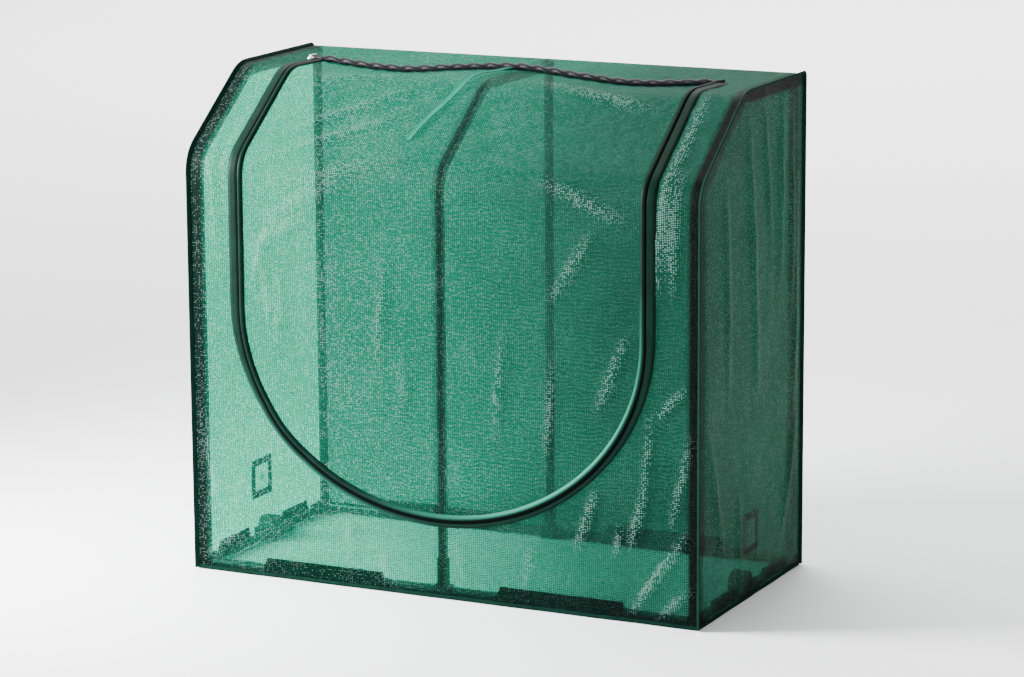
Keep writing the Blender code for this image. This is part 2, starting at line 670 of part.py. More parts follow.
def make_puller(x, axle_z, mats):
    """Flat puller that lies back over the slider and turns on its axle."""
    half = PULLER_WIDTH / 2
    thick = PULLER_THICK / 2
    ring = turned((x, SLIDER_Y, axle_z), [(-half, 0.0018), (half, 0.0018)], "X", 12)
    blade = box((x - half, SLIDER_Y + 0.0012, axle_z - thick),
                (x + half, SLIDER_Y + PULLER_LENGTH, axle_z + thick), bevel=0.0004)
    puller = combine("zip_puller", ring, [blade], mats["slider"], (0.0, 0.0, 0.0))
    drill(puller, rod((x, SLIDER_Y, axle_z), -0.01, 0.01, PULLER_PIN_R + 0.0003, "X", 12))


# ---------------------------------------------------------------- assembly

def clear_scene():
    for obj in list(bpy.data.objects):
        bpy.data.objects.remove(obj)


def build():
    clear_scene()
    mats = make_materials()
    for side, x in HOOPS.items():
        make_hoop(side, x, mats)
        make_rear_post(side, x, mats)
        make_hinge_fork(side, x, mats)
        make_hinge_tongue(side, x, mats)
        make_hinge_pin(side, x, mats)
    for end in ENDS:
        make_tee(end, mats)
        for side in SIDES:
            make_base_bar(end, side, mats)
            make_corner(end, side, mats)
            make_spreader(end, side, mats)
            make_cross_tab(end, side, mats)
            make_side_tab(end, side, mats)
    for side in SIDES:
        make_front_knuckle(side, mats)
        make_rear_knuckle(side, mats)
        make_shoulder_panel(side, mats)
        make_end_panel(side, mats)
        make_port_patch(side, mats)
    make_front_panel(mats)
    make_roof_panel(mats)
    make_rear_panel(mats)
    make_door_panel(mats)
    make_zip(mats)
    make_top_band(mats)
    make_tie_tape(mats)
    slider_x, axle_z = make_slider(mats)
    make_puller(slider_x, axle_z, mats)


build()
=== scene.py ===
"""Looks of the mini pop-up greenhouse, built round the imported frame. Metres, +Z up, front towards -Y."""
import json
import math

import bpy
import numpy as np
from mathutils import Matrix, Vector


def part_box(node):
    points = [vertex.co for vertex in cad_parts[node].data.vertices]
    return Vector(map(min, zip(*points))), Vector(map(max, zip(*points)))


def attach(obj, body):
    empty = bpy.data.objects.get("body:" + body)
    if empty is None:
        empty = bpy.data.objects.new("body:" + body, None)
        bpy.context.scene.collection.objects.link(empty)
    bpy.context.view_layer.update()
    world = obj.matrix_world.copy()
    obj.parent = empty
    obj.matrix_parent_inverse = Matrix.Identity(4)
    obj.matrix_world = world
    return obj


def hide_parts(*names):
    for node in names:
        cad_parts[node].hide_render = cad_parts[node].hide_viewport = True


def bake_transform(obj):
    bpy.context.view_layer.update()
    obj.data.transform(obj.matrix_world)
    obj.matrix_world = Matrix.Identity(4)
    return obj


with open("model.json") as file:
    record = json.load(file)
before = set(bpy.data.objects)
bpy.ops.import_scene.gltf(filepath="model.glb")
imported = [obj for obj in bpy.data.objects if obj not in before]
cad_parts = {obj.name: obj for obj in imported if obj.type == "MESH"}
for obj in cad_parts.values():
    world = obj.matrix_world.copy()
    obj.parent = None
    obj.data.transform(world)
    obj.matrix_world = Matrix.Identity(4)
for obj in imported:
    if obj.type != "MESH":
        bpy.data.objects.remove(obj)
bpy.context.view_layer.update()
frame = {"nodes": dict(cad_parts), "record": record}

# Places read from the frame
PANEL_LOW, PANEL_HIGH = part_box("end_panel_right")
HALF_WIDTH = PANEL_HIGH.x
FRONT_Y = PANEL_LOW.y
REAR_Y = PANEL_HIGH.y
ROOF_Z = PANEL_HIGH.z
HOOP_X = sum(c.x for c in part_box("hoop_right")) / 2
BAR_LOW, BAR_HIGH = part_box("rear_bar_left")
BAR_Y = (BAR_LOW.y + BAR_HIGH.y) / 2
BAR_Z = (BAR_LOW.z + BAR_HIGH.z) / 2
BAR_R = (BAR_HIGH.z - BAR_LOW.z) / 2
BAND_Y = sum(c.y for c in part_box("top_band")) / 2
BAND_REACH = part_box("top_band")[1].x
PATCH_LOW, PATCH_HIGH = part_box("port_patch_right")
PATCH_X, PATCH_Y, PATCH_Z = ((low + high) / 2 for low, high in zip(PATCH_LOW, PATCH_HIGH))
TUBE_DEPTH = HALF_WIDTH - HOOP_X

# The cover's side profile
SHOULDER_Z = 0.71
SHOULDER_DEPTH = 0.18
LOW_BEND_R = 0.060
TOP_BEND_R = 0.075

# Door and zip
DOOR_HALF = 0.368
DOOR_ARC_Z = 0.460
DOOR_ARC_RISE = 0.3266
DOOR_GAP = 0.003
TAPE_GAP = 0.001
ZIP_END_GAP = 0.004

# Net
CELL = 0.006
WALE = 0.0036
COURSE = 0.0028
EDGE_IN = 0.0008
FOOT_GAP = 0.001
PIN_SPAN = 0.03
FLOOR_SPAN = 0.02
# Across the net, the span over which it is painted darker towards its far side, as painted shade
PAINTED_FADE_SPAN = (-0.20, 0.34)
PLEAT_Z = 0.700
REAR_SCALE = 1.31
REAR_SHIFT = 3.7

# Sag, billow and fine crumple of the net
ROOF_SAG = 0.0060
BAND_SAG = 0.0070
BAND_SAG_SPAN = 0.075
SLOPE_SAG = 0.0035
FRONT_BILLOW = 0.0030
END_BILLOW = 0.0035
REAR_BILLOW = 0.0030
PUCKER = 0.0013
PUCKER_SPAN = 0.035
CRUMPLE = 0.0010
END_CRUMPLE = 0.0009
END_SLACK = 0.0005

# Where the net is painted in shade, as it lies on something or in the lee of a crease, and where its creases
# get painted glints
SHADE_HALF = 0.006
SHADE_FADE = 0.005
MIDDLE_SHADE = 0.8
BASE_SHADE = 0.8
BASE_SHADE_TOP = 0.017
BASE_SHADE_FADE = 0.004
TAB_CUT = 0.006
LEE = 0.014
LEE_SHADE = 0.42
GLINT_WIDTH = 1.3
GLINT_HEIGHT = 0.0042
CREASE_SLOPE = 0.45
CREASE_FLOOR = 0.2

# Trims
CORNER_R = 0.006
HEM_HEIGHT = 0.0065
HEM_THICK = 0.0009
HEM_INSET = 0.002
HEM_SINK = 0.0004
HEM_FOOT = 0.0008
HEM_WAVE = 0.0004
BAND_HALF = 0.006
BAND_PITCH = 0.060
BAND_SIDES = 14
BAND_RINGS = 320
BAND_LIFT = 0.0040
BAND_HIGH = 0.0062
BAND_DEEP = 0.0066
BAND_SLACK = 0.010
TIE_LENGTH = 0.262
TIE_DRIFT = -0.074
TIE_WIDTH = 0.0105
WRAP_TURN = math.radians(235)
WRAP_CLEAR = 0.0010
TAB_WAVE = 0.0007
TAB_SLANT = 0.010
SIDE_TAB_SLANT = 0.007
PATCH_EDGE = 0.0008
PATCH_INSETS = (0.0, 0.003, 0.006, 0.009, 0.0115)
EYELET_RINGS = ((0.0020, 0.0), (0.0030, 0.0008), (0.0045, 0.0008), (0.0056, 0.0))
BRIDGE_HALF = 0.0042
BRIDGE_FOOT = 0.0030
BRIDGE_RISE = 0.0036

SIDES = {"left": -1, "right": 1}


# ---------------- camera

CAMERA_AZIMUTH = 25.75
CAMERA_ELEVATION = 11.9
CAMERA_DISTANCE = 6.2854
CAMERA_AIM = (0.0279, 0.0, 0.3973)
CAMERA_LENS = 132.2
CAMERA_ROLL = -0.36


def make_camera():
    a, e = math.radians(CAMERA_AZIMUTH), math.radians(CAMERA_ELEVATION)
    back = Vector((math.sin(a) * math.cos(e), -math.cos(a) * math.cos(e), math.sin(e)))
    data = bpy.data.cameras.new("camera")
    data.lens = CAMERA_LENS
    data.clip_start = 0.1
    data.clip_end = 100.0
    camera = bpy.data.objects.new("camera", data)
    camera.location = Vector(CAMERA_AIM) + back * CAMERA_DISTANCE
    turn = (-back).to_track_quat("-Z", "Y").to_matrix().to_4x4()
    roll = Matrix.Rotation(math.radians(CAMERA_ROLL), 4, "Z")
    camera.rotation_mode = "QUATERNION"
    camera.rotation_quaternion = (turn @ roll).to_quaternion()
    bpy.context.scene.collection.objects.link(camera)
    bpy.context.scene.camera = camera


# ---------------- the profile as numbers

def arc_between(corner, before, after, radius):
    inward = (corner - before) / np.linalg.norm(corner - before)
    outward = (after - corner) / np.linalg.norm(after - corner)
    turn = math.acos(float(inward @ outward))
    tangent = radius * math.tan(turn / 2)
    start = corner - inward * tangent
    centre = start + np.array([inward[1], -inward[0]]) * radius
    return {"start": start, "centre": centre, "turn": turn, "inward": inward, "outward": outward,
            "end": corner + outward * tangent, "radius": radius}


FOOT = np.array([FRONT_Y, 0.0])
LOW_CORNER = np.array([FRONT_Y, SHOULDER_Z])
TOP_CORNER = np.array([FRONT_Y + SHOULDER_DEPTH, ROOF_Z])
BACK_CORNER = np.array([REAR_Y, ROOF_Z])
LOW_BEND = arc_between(LOW_CORNER, FOOT, TOP_CORNER, LOW_BEND_R)
TOP_BEND = arc_between(TOP_CORNER, LOW_CORNER, BACK_CORNER, TOP_BEND_R)
S_LOW = float(LOW_BEND["start"][1])
S_SLOPE = S_LOW + LOW_BEND["turn"] * LOW_BEND_R
S_TOP = S_SLOPE + float(np.linalg.norm(TOP_BEND["start"] - LOW_BEND["end"]))
S_FLAT = S_TOP + TOP_BEND["turn"] * TOP_BEND_R
S_END = S_FLAT + REAR_Y - float(TOP_BEND["end"][0])
DOOR_TOP = S_FLAT + BAND_Y - BAND_HALF - float(TOP_BEND["end"][0])


def s_on_roof(y):
    return S_FLAT + y - float(TOP_BEND["end"][0])


def profile(s):
    """Points and outward normals, as (y, z) rows, at distances s up the cover from the front foot."""
    s = np.atleast_1d(np.asarray(s, float))
    point = np.zeros((len(s), 2))
    low_turn = np.clip((s - S_LOW) / LOW_BEND_R, 0, LOW_BEND["turn"])
    top_turn = np.clip((s - S_TOP) / TOP_BEND_R, 0, TOP_BEND["turn"])
    angle = math.pi / 2 - low_turn - top_turn
    direction = np.stack([np.cos(angle), np.sin(angle)], 1)
    normal = np.stack([-np.sin(angle), np.cos(angle)], 1)
    front = s <= S_LOW
    point[front] = FOOT + np.stack([np.zeros(front.sum()), s[front]], 1)
    low = (s > S_LOW) & (s <= S_SLOPE)
    point[low] = LOW_BEND["centre"] + normal[low] * LOW_BEND_R
    middle = (s > S_SLOPE) & (s <= S_TOP)
    point[middle] = LOW_BEND["end"] + direction[middle] * (s[middle] - S_SLOPE)[:, None]
    top = (s > S_TOP) & (s <= S_FLAT)
    point[top] = TOP_BEND["centre"] + normal[top] * TOP_BEND_R
    flat = s > S_FLAT
    point[flat] = TOP_BEND["end"] + np.stack([s[flat] - S_FLAT, np.zeros(flat.sum())], 1)
    return point, normal, direction


# ---------------- folds of the net

def ridge(x, s, start, end, width, height):
    """A long soft fold from start to end, highest near its middle."""
    a, b = np.array(start, float), np.array(end, float)
    along = b - a
    length = np.linalg.norm(along)
    unit = along / length
    dx, ds = x - a[0], s - a[1]
    t = (dx * unit[0] + ds * unit[1]) / length
    off = dx * unit[1] - ds * unit[0]
    inside = np.clip(t, 0, 1)
    fade = np.sin(math.pi * inside) ** 0.8 * ((t > 0) & (t < 1))
    bend = 0.25 * width * np.sin(3.1 * t + 11 * a[0])
    return height * fade * np.exp(-((off - bend) / width) ** 2)


def ripple(x, s, scale, seed, octaves=3):
    """Smooth deterministic noise from a sum of sine waves in scattered directions."""
    rng = np.random.RandomState(seed)
    total = np.zeros(np.broadcast(x, s).shape)
    gain = 1.0
    for octave in range(octaves):
        for _ in range(4):
            direction = rng.uniform(0, 2 * math.pi)
            phase = rng.uniform(0, 2 * math.pi)
            k = 2 * math.pi / scale * (1.6 ** octave) * rng.uniform(0.8, 1.25)
            total += gain * np.sin(k * (x * math.cos(direction) + s * math.sin(direction)) + phase)
        gain *= 0.55
    return total / 4


def between_hoops(x):
    """0 over a hoop and 1 half way between two of them."""
    share = np.clip(np.abs(x) / HOOP_X, 0, 1)
    return np.sin(math.pi * share) ** 2


def door_distance(x, s):
    """Distance outwards from the door's edge, negative inside the door."""
    ax = np.abs(x)
    side = ax - DOOR_HALF
    dz = np.minimum(s - DOOR_ARC_Z, 0)
    radial = np.sqrt((ax / DOOR_HALF) ** 2 + (dz / DOOR_ARC_RISE) ** 2)
    scale = np.sqrt((ax / DOOR_HALF ** 2) ** 2 + (dz / DOOR_ARC_RISE ** 2) ** 2) / np.maximum(radial, 1e-6)
    below = (radial - 1) / np.maximum(scale, 1e-6)
    return np.where(s > DOOR_ARC_Z, side, below)


def millimetres(rows):
    """Folds as (start, end, half width, height) in metres, from rows of six numbers in millimetres."""
    return [((a / 1000, b / 1000), (c / 1000, d / 1000), w / 1000, h / 1000) for a, b, c, d, w, h in rows]


# Long folds of the cover and door: across and up the cover at the start and the end, half width, height
CORNER_FOLDS = millimetres([
    (445, 165, 340, 6, 6.5, 6),
    (452, 72, 388, 6, 6, 5),
    (448, 330, 412, 150, 6, 4),
    (440, 400, 382, 330, 6, 4.5),
    (374, 350, 366, 205, 5, 4),
    (368, 235, 340, 110, 6.5, 4.5),
    (284, 222, 243, 100, 6.5, 5),
    (322, 165, 316, 100, 5, 4),
    (-452, 20, -360, 80, 8, 5),
    (-452, 50, -415, 170, 7, 4),
    (-448, 300, -420, 120, 7, 3.5),
    (-172, 132, -162, 50, 7, 4),
    (-104, 75, -96, 6, 9, 4.5),
    (30, 110, 52, 12, 7, 3),
    (170, 120, 150, 20, 7, 3),
])
DOOR_FOLDS = millimetres([
    (-345, 600, -150, 690, 12, 4.5),
    (-345, 560, -220, 630, 10, 4),
    (-330, 660, -60, 730, 11, 4),
    (-345, 700, -80, 850, 10, 4),
    (-340, 760, -100, 900, 9, 3.5),
    (-350, 480, -300, 620, 8, 4),
    (-325, 560, -310, 420, 7, 4.5),
    (-290, 560, -300, 380, 8, 3.5),
    (-330, 300, -250, 210, 9, 3),
    (-100, 560, -110, 360, 8, 3.5),
    (-60, 420, -70, 250, 7, 3),
    (120, 480, 95, 240, 7, 3),
    (210, 440, 190, 230, 7, 3),
    (335, 480, 280, 330, 8, 3.5),
    (345, 650, 160, 720, 11, 3.5),
    (340, 880, 60, 950, 12, 3.6),
    (-330, 900, -60, 960, 12, 3.6),
    (280, 640, 190, 500, 9, 3),
])
SIDE_FOLDS = millimetres([
    (-395, 880, -392, 600, 8, 3.5),
    (-420, 800, -412, 500, 7, 3.5),
    (398, 960, 404, 560, 8, 4.5),
    (420, 760, 414, 520, 7, 4),
    (392, 700, 386, 520, 6, 3.5),
])
FOLDS = CORNER_FOLDS + DOOR_FOLDS + SIDE_FOLDS

# The same for an end panel, going back and up, and for the rear panel, going across and up
END_FOLDS = millimetres([
    (-20, 820, 20, 330, 11, 5),
    (-120, 730, -100, 330, 10, 4),
    (130, 820, 110, 500, 10, 4.5),
    (170, 800, 160, 420, 8, 4),
    (50, 810, 75, 560, 9, 4),
    (-195, 320, -110, 60, 11, 4),
    (195, 280, 120, 50, 11, 4),
    (-60, 200, -40, 30, 10, 3),
    (190, 560, 170, 250, 9, 3.5),
])
REAR_FOLDS = millimetres([
    (-400, 810, -330, 420, 12, 4.5),
    (-80, 820, -150, 480, 12, 4.5),
    (80, 820, 160, 500, 12, 4.5),
    (400, 810, 330, 430, 12, 4.5),
    (-430, 300, -300, 50, 12, 4.5),
    (430, 300, 300, 50, 12, 4.5),
    (-240, 560, -200, 240, 12, 3.5),
    (240, 560, 210, 240, 12, 3.5),
])


def inward_depth(y, z):
    """How far a point of an end lies inside the outline of the front frame's hoop."""
    front = y - FRONT_Y
    run, rise = SHOULDER_DEPTH, ROOF_Z - SHOULDER_Z
    slope = (front * rise - (z - SHOULDER_Z) * run) / math.hypot(run, rise)
    return np.minimum(np.minimum(front, slope), ROOF_Z - z)


def rise_over(distance, span):
    """0 to 1 as a distance grows from nothing to the span."""
    return np.clip(distance / span, 0, 1)


def add_folds(height, u, v, folds):
    for fold in folds:
        height = height + ridge(u, v, *fold)
    return height


def hoop_shade(x):
    """Painted shade on the net over the hoops: 1 from an end seam to just inside its hoop, less over the
    middle hoop, 0 clear of them.
    """
    corner = 1 - rise_over(HOOP_X - np.abs(x) - SHADE_HALF, SHADE_FADE)
    middle = 1 - rise_over(np.abs(x) - SHADE_HALF, SHADE_FADE)
    return np.maximum(corner, MIDDLE_SHADE * middle)


def base_shade(x, s):
    """Painted shade where the front net lies against the base bar and the tabs wrapped round it."""
    share = 1 - rise_over(s - BASE_SHADE_TOP, BASE_SHADE_FADE)
    for side in SIDES:
        low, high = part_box(f"front_tab_{side}")
        inside = (x > low.x + TAB_CUT) & (x < high.x - TAB_CUT)
        share = np.maximum(share, inside * (1 - rise_over(s - high.z, BASE_SHADE_FADE)))
    return BASE_SHADE * share


def cover_creases(x, s):
    """0 to 1 along the named folds, where the tapes get painted glints; shifted across, it also places
    painted shade in their lee.
    """
    total = np.zeros(np.broadcast(x, s).shape)
    glints = [(start, end, GLINT_WIDTH * width, height / GLINT_HEIGHT) for start, end, width, height in FOLDS]
    return np.clip(add_folds(total, x, s, glints), 0, 1)


def cover_height(x, s, fine=True):
    """How far the net stands out from the taut cover; fine adds its small puckers."""
    slack = between_hoops(x)
    roof = rise_over(s - S_TOP, S_FLAT - S_TOP)
    slope = rise_over(s - S_LOW, 0.05) * (1 - roof)
    pinned = rise_over(HALF_WIDTH - np.abs(x), PIN_SPAN) * rise_over(s, PIN_SPAN)
    pinned = pinned * rise_over(S_END - s, PIN_SPAN)
    sag = ROOF_SAG * roof * rise_over(S_END - s, 2 * PIN_SPAN) + SLOPE_SAG * slope
    sag = sag + BAND_SAG * np.exp(-((s - s_on_roof(BAND_Y)) / BAND_SAG_SPAN) ** 2)
    billow = FRONT_BILLOW * (1 - roof - slope) * np.sin(math.pi * rise_over(s, S_LOW))
    height = add_folds((billow - sag) * slack, x, s, FOLDS)
    if not fine:
        return height * pinned
    by_zip = np.exp(-(np.abs(door_distance(x, s)) / PUCKER_SPAN) ** 2)
    height = height + PUCKER * ripple(x, s, 0.045, 5, 2) * by_zip + CRUMPLE * ripple(x, s, 0.16, 11, 4)
    return height * pinned


def cover_point(x, s, lift=0.0, fine=True):
    """Points in space of places (across, up the cover) on the net, raised by lift."""
    x = np.asarray(x, float)
    s = np.asarray(s, float)
    point, normal, _ = profile(s.ravel())
    shape = np.broadcast(x, s).shape
    rise = (cover_height(x, s, fine) + lift - EDGE_IN).ravel()
    place = point + normal * rise[:, None]
    out = np.stack([np.broadcast_to(x, shape).ravel(), place[:, 0], place[:, 1]], 1)
    return out.reshape(shape + (3,))


def end_height(y, z, side):
    """Folds of an end panel, outwards, clear of the bars that swing inside it."""
    pinned = rise_over(REAR_Y - y, PIN_SPAN) * rise_over(y - FRONT_Y, PIN_SPAN) * rise_over(z, FLOOR_SPAN)
    height = END_BILLOW * np.sin(math.pi * rise_over(z, 0.8)) * np.ones_like(y)
    height = add_folds(height, y, z, END_FOLDS) + END_CRUMPLE * ripple(y, z, 0.13, 23 + side, 4)
    return np.maximum(height, -END_SLACK) * pinned


def rear_height(x, z):
    """Folds of the rear panel, outwards."""
    pinned = rise_over(HALF_WIDTH - np.abs(x), PIN_SPAN) * rise_over(ROOF_Z - z, PIN_SPAN)
    pinned = pinned * rise_over(z, FLOOR_SPAN)
    height = REAR_BILLOW * between_hoops(x) * np.sin(math.pi * rise_over(z, ROOF_Z))
    return (add_folds(height, x, z, REAR_FOLDS) + CRUMPLE * ripple(x, z, 0.15, 31, 4)) * pinned


# ---------------- mesh helpers

def add_object(name, verts, faces, mat, smooth=True):
    mesh = bpy.data.meshes.new(name)
    mesh.from_pydata([tuple(map(float, v)) for v in verts], [], faces)
    mesh.validate()
    mesh.update()
    if smooth:
        mesh.shade_smooth()
    mesh.materials.append(mat)
    obj = bpy.data.objects.new(name, mesh)
    bpy.context.scene.collection.objects.link(obj)
    return obj


def set_attribute(obj, name, values, kind="FLOAT_VECTOR"):
    attribute = obj.data.attributes.new(name, kind, "POINT")
    key = "vector" if kind == "FLOAT_VECTOR" else "value"
    attribute.data.foreach_set(key, np.asarray(values, np.float32).ravel())


def grid_sheet(name, us, vs, place, mat, keep=None, knit=None, **shares):
    """A one-layer sheet over a grid, whose cells are cloth where keep(u, v) says so.

    knit turns (u, v) into the places of the knitted loops. The shares are grids of values for the material.
    """
    uu, vv = np.meshgrid(us, vs, indexing="xy")
    rows, cols = uu.shape
    index = np.arange(rows * cols).reshape(rows, cols)
    quads = np.stack([index[:-1, :-1], index[:-1, 1:], index[1:, 1:], index[1:, :-1]], -1)
    if keep:
        quads = quads[keep((uu[:-1, :-1] + uu[1:, 1:]) / 2, (vv[:-1, :-1] + vv[1:, 1:]) / 2)]
    quads = quads.reshape(-1, 4)
    used = np.unique(quads)
    remap = np.full(rows * cols, -1)
    remap[used] = np.arange(len(used))
    verts = place(uu, vv).reshape(-1, 3)[used]
    obj = add_object(name, verts, [tuple(int(i) for i in q) for q in remap[quads]], mat)
    loops = knit(uu, vv) if knit else (uu, vv, np.zeros(uu.shape))
    set_attribute(obj, "knit", np.stack([part.ravel()[used] for part in loops], 1))
    for key, values in shares.items():
        set_attribute(obj, key, values.ravel()[used], "FLOAT")
    return obj


def crease_share(steepness):
    """0 to 1 where the net is creased, from how steeply its height changes."""
    return np.clip(steepness / CREASE_SLOPE - CREASE_FLOOR, 0, 1)


def skin(rings, count, clockwise=False):
    """Faces that join rings of count points each and fill both ends."""
    faces = []
    for i in range(rings - 1):
        for j in range(count):
            k = (j + 1) % count
            a, b, c, d = i * count + j, i * count + k, (i + 1) * count + k, (i + 1) * count + j
            faces.append((a, d, c, b) if clockwise else (a, b, c, d))
    first = tuple(range(count))
    last = tuple((rings - 1) * count + j for j in first)
    return faces + ([first, last[::-1]] if clockwise else [first[::-1], last])


def sweep(name, centres, across, out, section, mat, widths=None):
    """Sweep a closed section of (across, out) points along a run. widths scale it across."""
    widths = np.ones(len(centres)) if widths is None else widths
    verts = []
    for c, a, o, w in zip(centres, across, out, widths):
        verts += [np.asarray(c) + np.asarray(a) * p * w + np.asarray(o) * q for p, q in section]
    obj = add_object(name, verts, skin(len(centres), len(section), clockwise=True), mat)
    obj.data.set_sharp_from_angle(angle=math.radians(50))
    return obj


def thick_grid(name, points, thickness, mat):
    """A closed sheet of even thickness from a grid of points."""
    points = np.asarray(points, float)
    du = np.gradient(points, axis=1)
    dv = np.gradient(points, axis=0)
    normal = np.cross(du, dv)
    normal /= np.maximum(np.linalg.norm(normal, axis=2, keepdims=True), 1e-12)
    layers = [points + normal * thickness / 2, points - normal * thickness / 2]
    rows, cols = points.shape[:2]
    verts = np.concatenate([layer.reshape(-1, 3) for layer in layers])
    top = np.arange(rows * cols).reshape(rows, cols)
    under = top + rows * cols
    faces = []
    for i in range(rows - 1):
        for j in range(cols - 1):
            faces.append((top[i, j], top[i, j + 1], top[i + 1, j + 1], top[i + 1, j]))
            faces.append((under[i, j], under[i + 1, j], under[i + 1, j + 1], under[i, j + 1]))
    rim = ([(0, j) for j in range(cols)] + [(i, cols - 1) for i in range(1, rows)]
           + [(rows - 1, j) for j in range(cols - 2, -1, -1)] + [(i, 0) for i in range(rows - 2, 0, -1)])
    for a, b in zip(rim, rim[1:] + rim[:1]):
        faces.append((top[b], top[a], under[a], under[b]))
    faces = [tuple(int(i) for i in f) for f in faces]
    obj = add_object(name, verts, faces, mat)
    obj.data.set_sharp_from_angle(angle=math.radians(50))
    return obj


# ---------------- node helpers

class Nodes:
    """Short calls for building a material's node tree."""

    def __init__(self, name):
        self.mat = bpy.data.materials.new(name)
        self.mat.use_nodes = True
        self.tree = self.mat.node_tree
        self.tree.nodes.clear()
        self.out = self.tree.nodes.new("ShaderNodeOutputMaterial")

    def add(self, kind, **values):
        node = self.tree.nodes.new(kind)
        for key, value in values.items():
            setattr(node, key, value)
        return node

    def link(self, source, target):
        self.tree.links.new(source, target)

    def math(self, operation, *values):
        node = self.add("ShaderNodeMath", operation=operation)
        for socket, value in zip(node.inputs, values):
            if isinstance(value, (int, float)):
                socket.default_value = value
            else:
                self.link(value, socket)
        return node.outputs[0]

    def ramp(self, value, low, high, to_low=0.0, to_high=1.0, smooth=True):
        node = self.add("ShaderNodeMapRange", interpolation_type="SMOOTHSTEP" if smooth else "LINEAR")
        self.link(value, node.inputs["Value"])
        for key, number in (("From Min", low), ("From Max", high), ("To Min", to_low), ("To Max", to_high)):
            node.inputs[key].default_value = number
        return node.outputs["Result"]

    def mix_colour(self, factor, a, b):
        node = self.add("ShaderNodeMix", data_type="RGBA")
        for socket, value in ((node.inputs[0], factor), (node.inputs[6], a), (node.inputs[7], b)):
            if isinstance(value, (int, float)):
                socket.default_value = value
            elif isinstance(value, tuple):
                socket.default_value = (*value, 1.0)
            else:
                self.link(value, socket)
        return node.outputs[2]

    def noise(self, vector, scale, detail=2.0, rough=0.5):
        node = self.add("ShaderNodeTexNoise")
        node.inputs["Scale"].default_value = scale
        node.inputs["Detail"].default_value = detail
        node.inputs["Roughness"].default_value = rough
        self.link(vector, node.inputs["Vector"])
        return node.outputs["Fac"]

    def bump(self, height, strength, distance):
        node = self.add("ShaderNodeBump")
        node.inputs["Strength"].default_value = strength
        node.inputs["Distance"].default_value = distance
        self.link(height, node.inputs["Height"])
        return node.outputs["Normal"]

    def share(self, name):
        """A 0 to 1 value stored on the mesh."""
        return self.add("ShaderNodeAttribute", attribute_name=name).outputs["Fac"]

    def times(self, *values):
        product = values[0]
        for value in values[1:]:
            product = self.math("MULTIPLY", product, value)
        return product

    def mix_shader(self, factor, first, second):
        node = self.add("ShaderNodeMixShader")
        if isinstance(factor, float):
            node.inputs[0].default_value = factor
        else:
            self.link(factor, node.inputs[0])
        self.link(first, node.inputs[1])
        self.link(second, node.inputs[2])
        return node.outputs[0]

    def finish(self, surface):
        self.link(surface, self.out.inputs["Surface"])
        return self.mat

    def principled(self, **values):
        node = self.add("ShaderNodeBsdfPrincipled")
        for key, value in values.items():
            socket = node.inputs[key.replace("_", " ")]
            if isinstance(value, tuple):
                socket.default_value = (*value, 1.0)
            elif isinstance(value, (int, float)):
                socket.default_value = value
            else:
                self.link(value, socket)
        return node


def object_coordinates(n):
    return n.add("ShaderNodeTexCoord").outputs["Object"]


# ---------------- materials

def scaled(colour, share):
    return tuple(c * share for c in colour)


def knit_pattern(n):
    """The net's pattern: upright chains, flat tapes between them and three chance values for each loop."""
    knit = n.add("ShaderNodeAttribute", attribute_name="knit").outputs["Vector"]
    split = n.add("ShaderNodeSeparateXYZ")
    n.link(knit, split.inputs[0])
    wander = n.math("SUBTRACT", n.noise(knit, 30.0, 2.0), 0.5)
    u = n.math("DIVIDE", n.math("ADD", split.outputs[0], n.times(wander, 0.0045)), WALE)
    v = n.math("DIVIDE", n.math("ADD", split.outputs[1], n.times(wander, 0.0060)), COURSE)
    loop = n.add("ShaderNodeCombineXYZ")
    n.link(n.math("FLOOR", u), loop.inputs[0])
    n.link(n.math("FLOOR", v), loop.inputs[1])
    chance = n.add("ShaderNodeTexWhiteNoise", noise_dimensions="2D")
    n.link(loop.outputs[0], chance.inputs["Vector"])
    luck = n.add("ShaderNodeSeparateColor")
    n.link(chance.outputs["Color"], luck.inputs[0])
    side = n.math("ABSOLUTE", n.math("SUBTRACT", n.math("FRACT", u), 0.5))
    level = n.math("ABSOLUTE", n.math("SUBTRACT", n.math("FRACT", v), 0.5))
    chain = n.ramp(side, 0.30, 0.40)
    tape = n.ramp(n.math("SUBTRACT", level, n.times(luck.outputs[0], 0.16)), 0.18, 0.26, 1.0, 0.0)
    return {"across": split.outputs[0], "luck": luck.outputs, "side": side, "level": level, "chain": chain,
            "cloth": n.math("MAXIMUM", chain, tape), "broad": n.noise(knit, 7.0, 4.0)}


def net_cover(n, pattern, solid):
    """How much the net hides: more towards its far side, as part of its painted shade there, and nearly all
    where it is painted in shade on a hoop, so it reads as a dark sheet.
    """
    dense = n.ramp(pattern["across"], *PAINTED_FADE_SPAN, *solid)
    thin = n.ramp(dense, 0.5, 0.9, 0.34, 0.88, smooth=False)
    cover = n.times(dense, n.math("MAXIMUM", pattern["cloth"], thin))
    return n.math("MAXIMUM", cover, n.ramp(n.share("touch"), 0.84, 1.0, 0.0, 0.93))


def net_glint(n, pattern, painted_fade, sparkle):
    """Painted glints on the flat tapes: a mask, scattered over the net and crowded along its folds, the
    scattered ones weaker towards the far side, all halved where the net is painted in shade.
    """
    fold = n.share("fold")
    shiny = n.math("ADD", n.times(fold, 0.48), n.times(n.ramp(pattern["broad"], 0.42, 0.68), 0.22))
    glint = n.ramp(n.math("ADD", pattern["luck"][1], shiny), 0.62, 0.98)
    middle = n.times(n.ramp(pattern["level"], 0.08, 0.20, 1.0, 0.0),
                     n.ramp(pattern["side"], 0.20, 0.34, 1.0, 0.0))
    calm = n.times(painted_fade, 0.85 * sparkle, painted_fade)
    crease = n.times(n.ramp(fold, 0.0, 0.8, 0.12, 1.0), sparkle)
    clear = n.ramp(n.share("touch"), 0.0, 1.0, 1.0, 0.5, smooth=False)
    return n.times(glint, middle, n.math("MAXIMUM", calm, crease), clear)


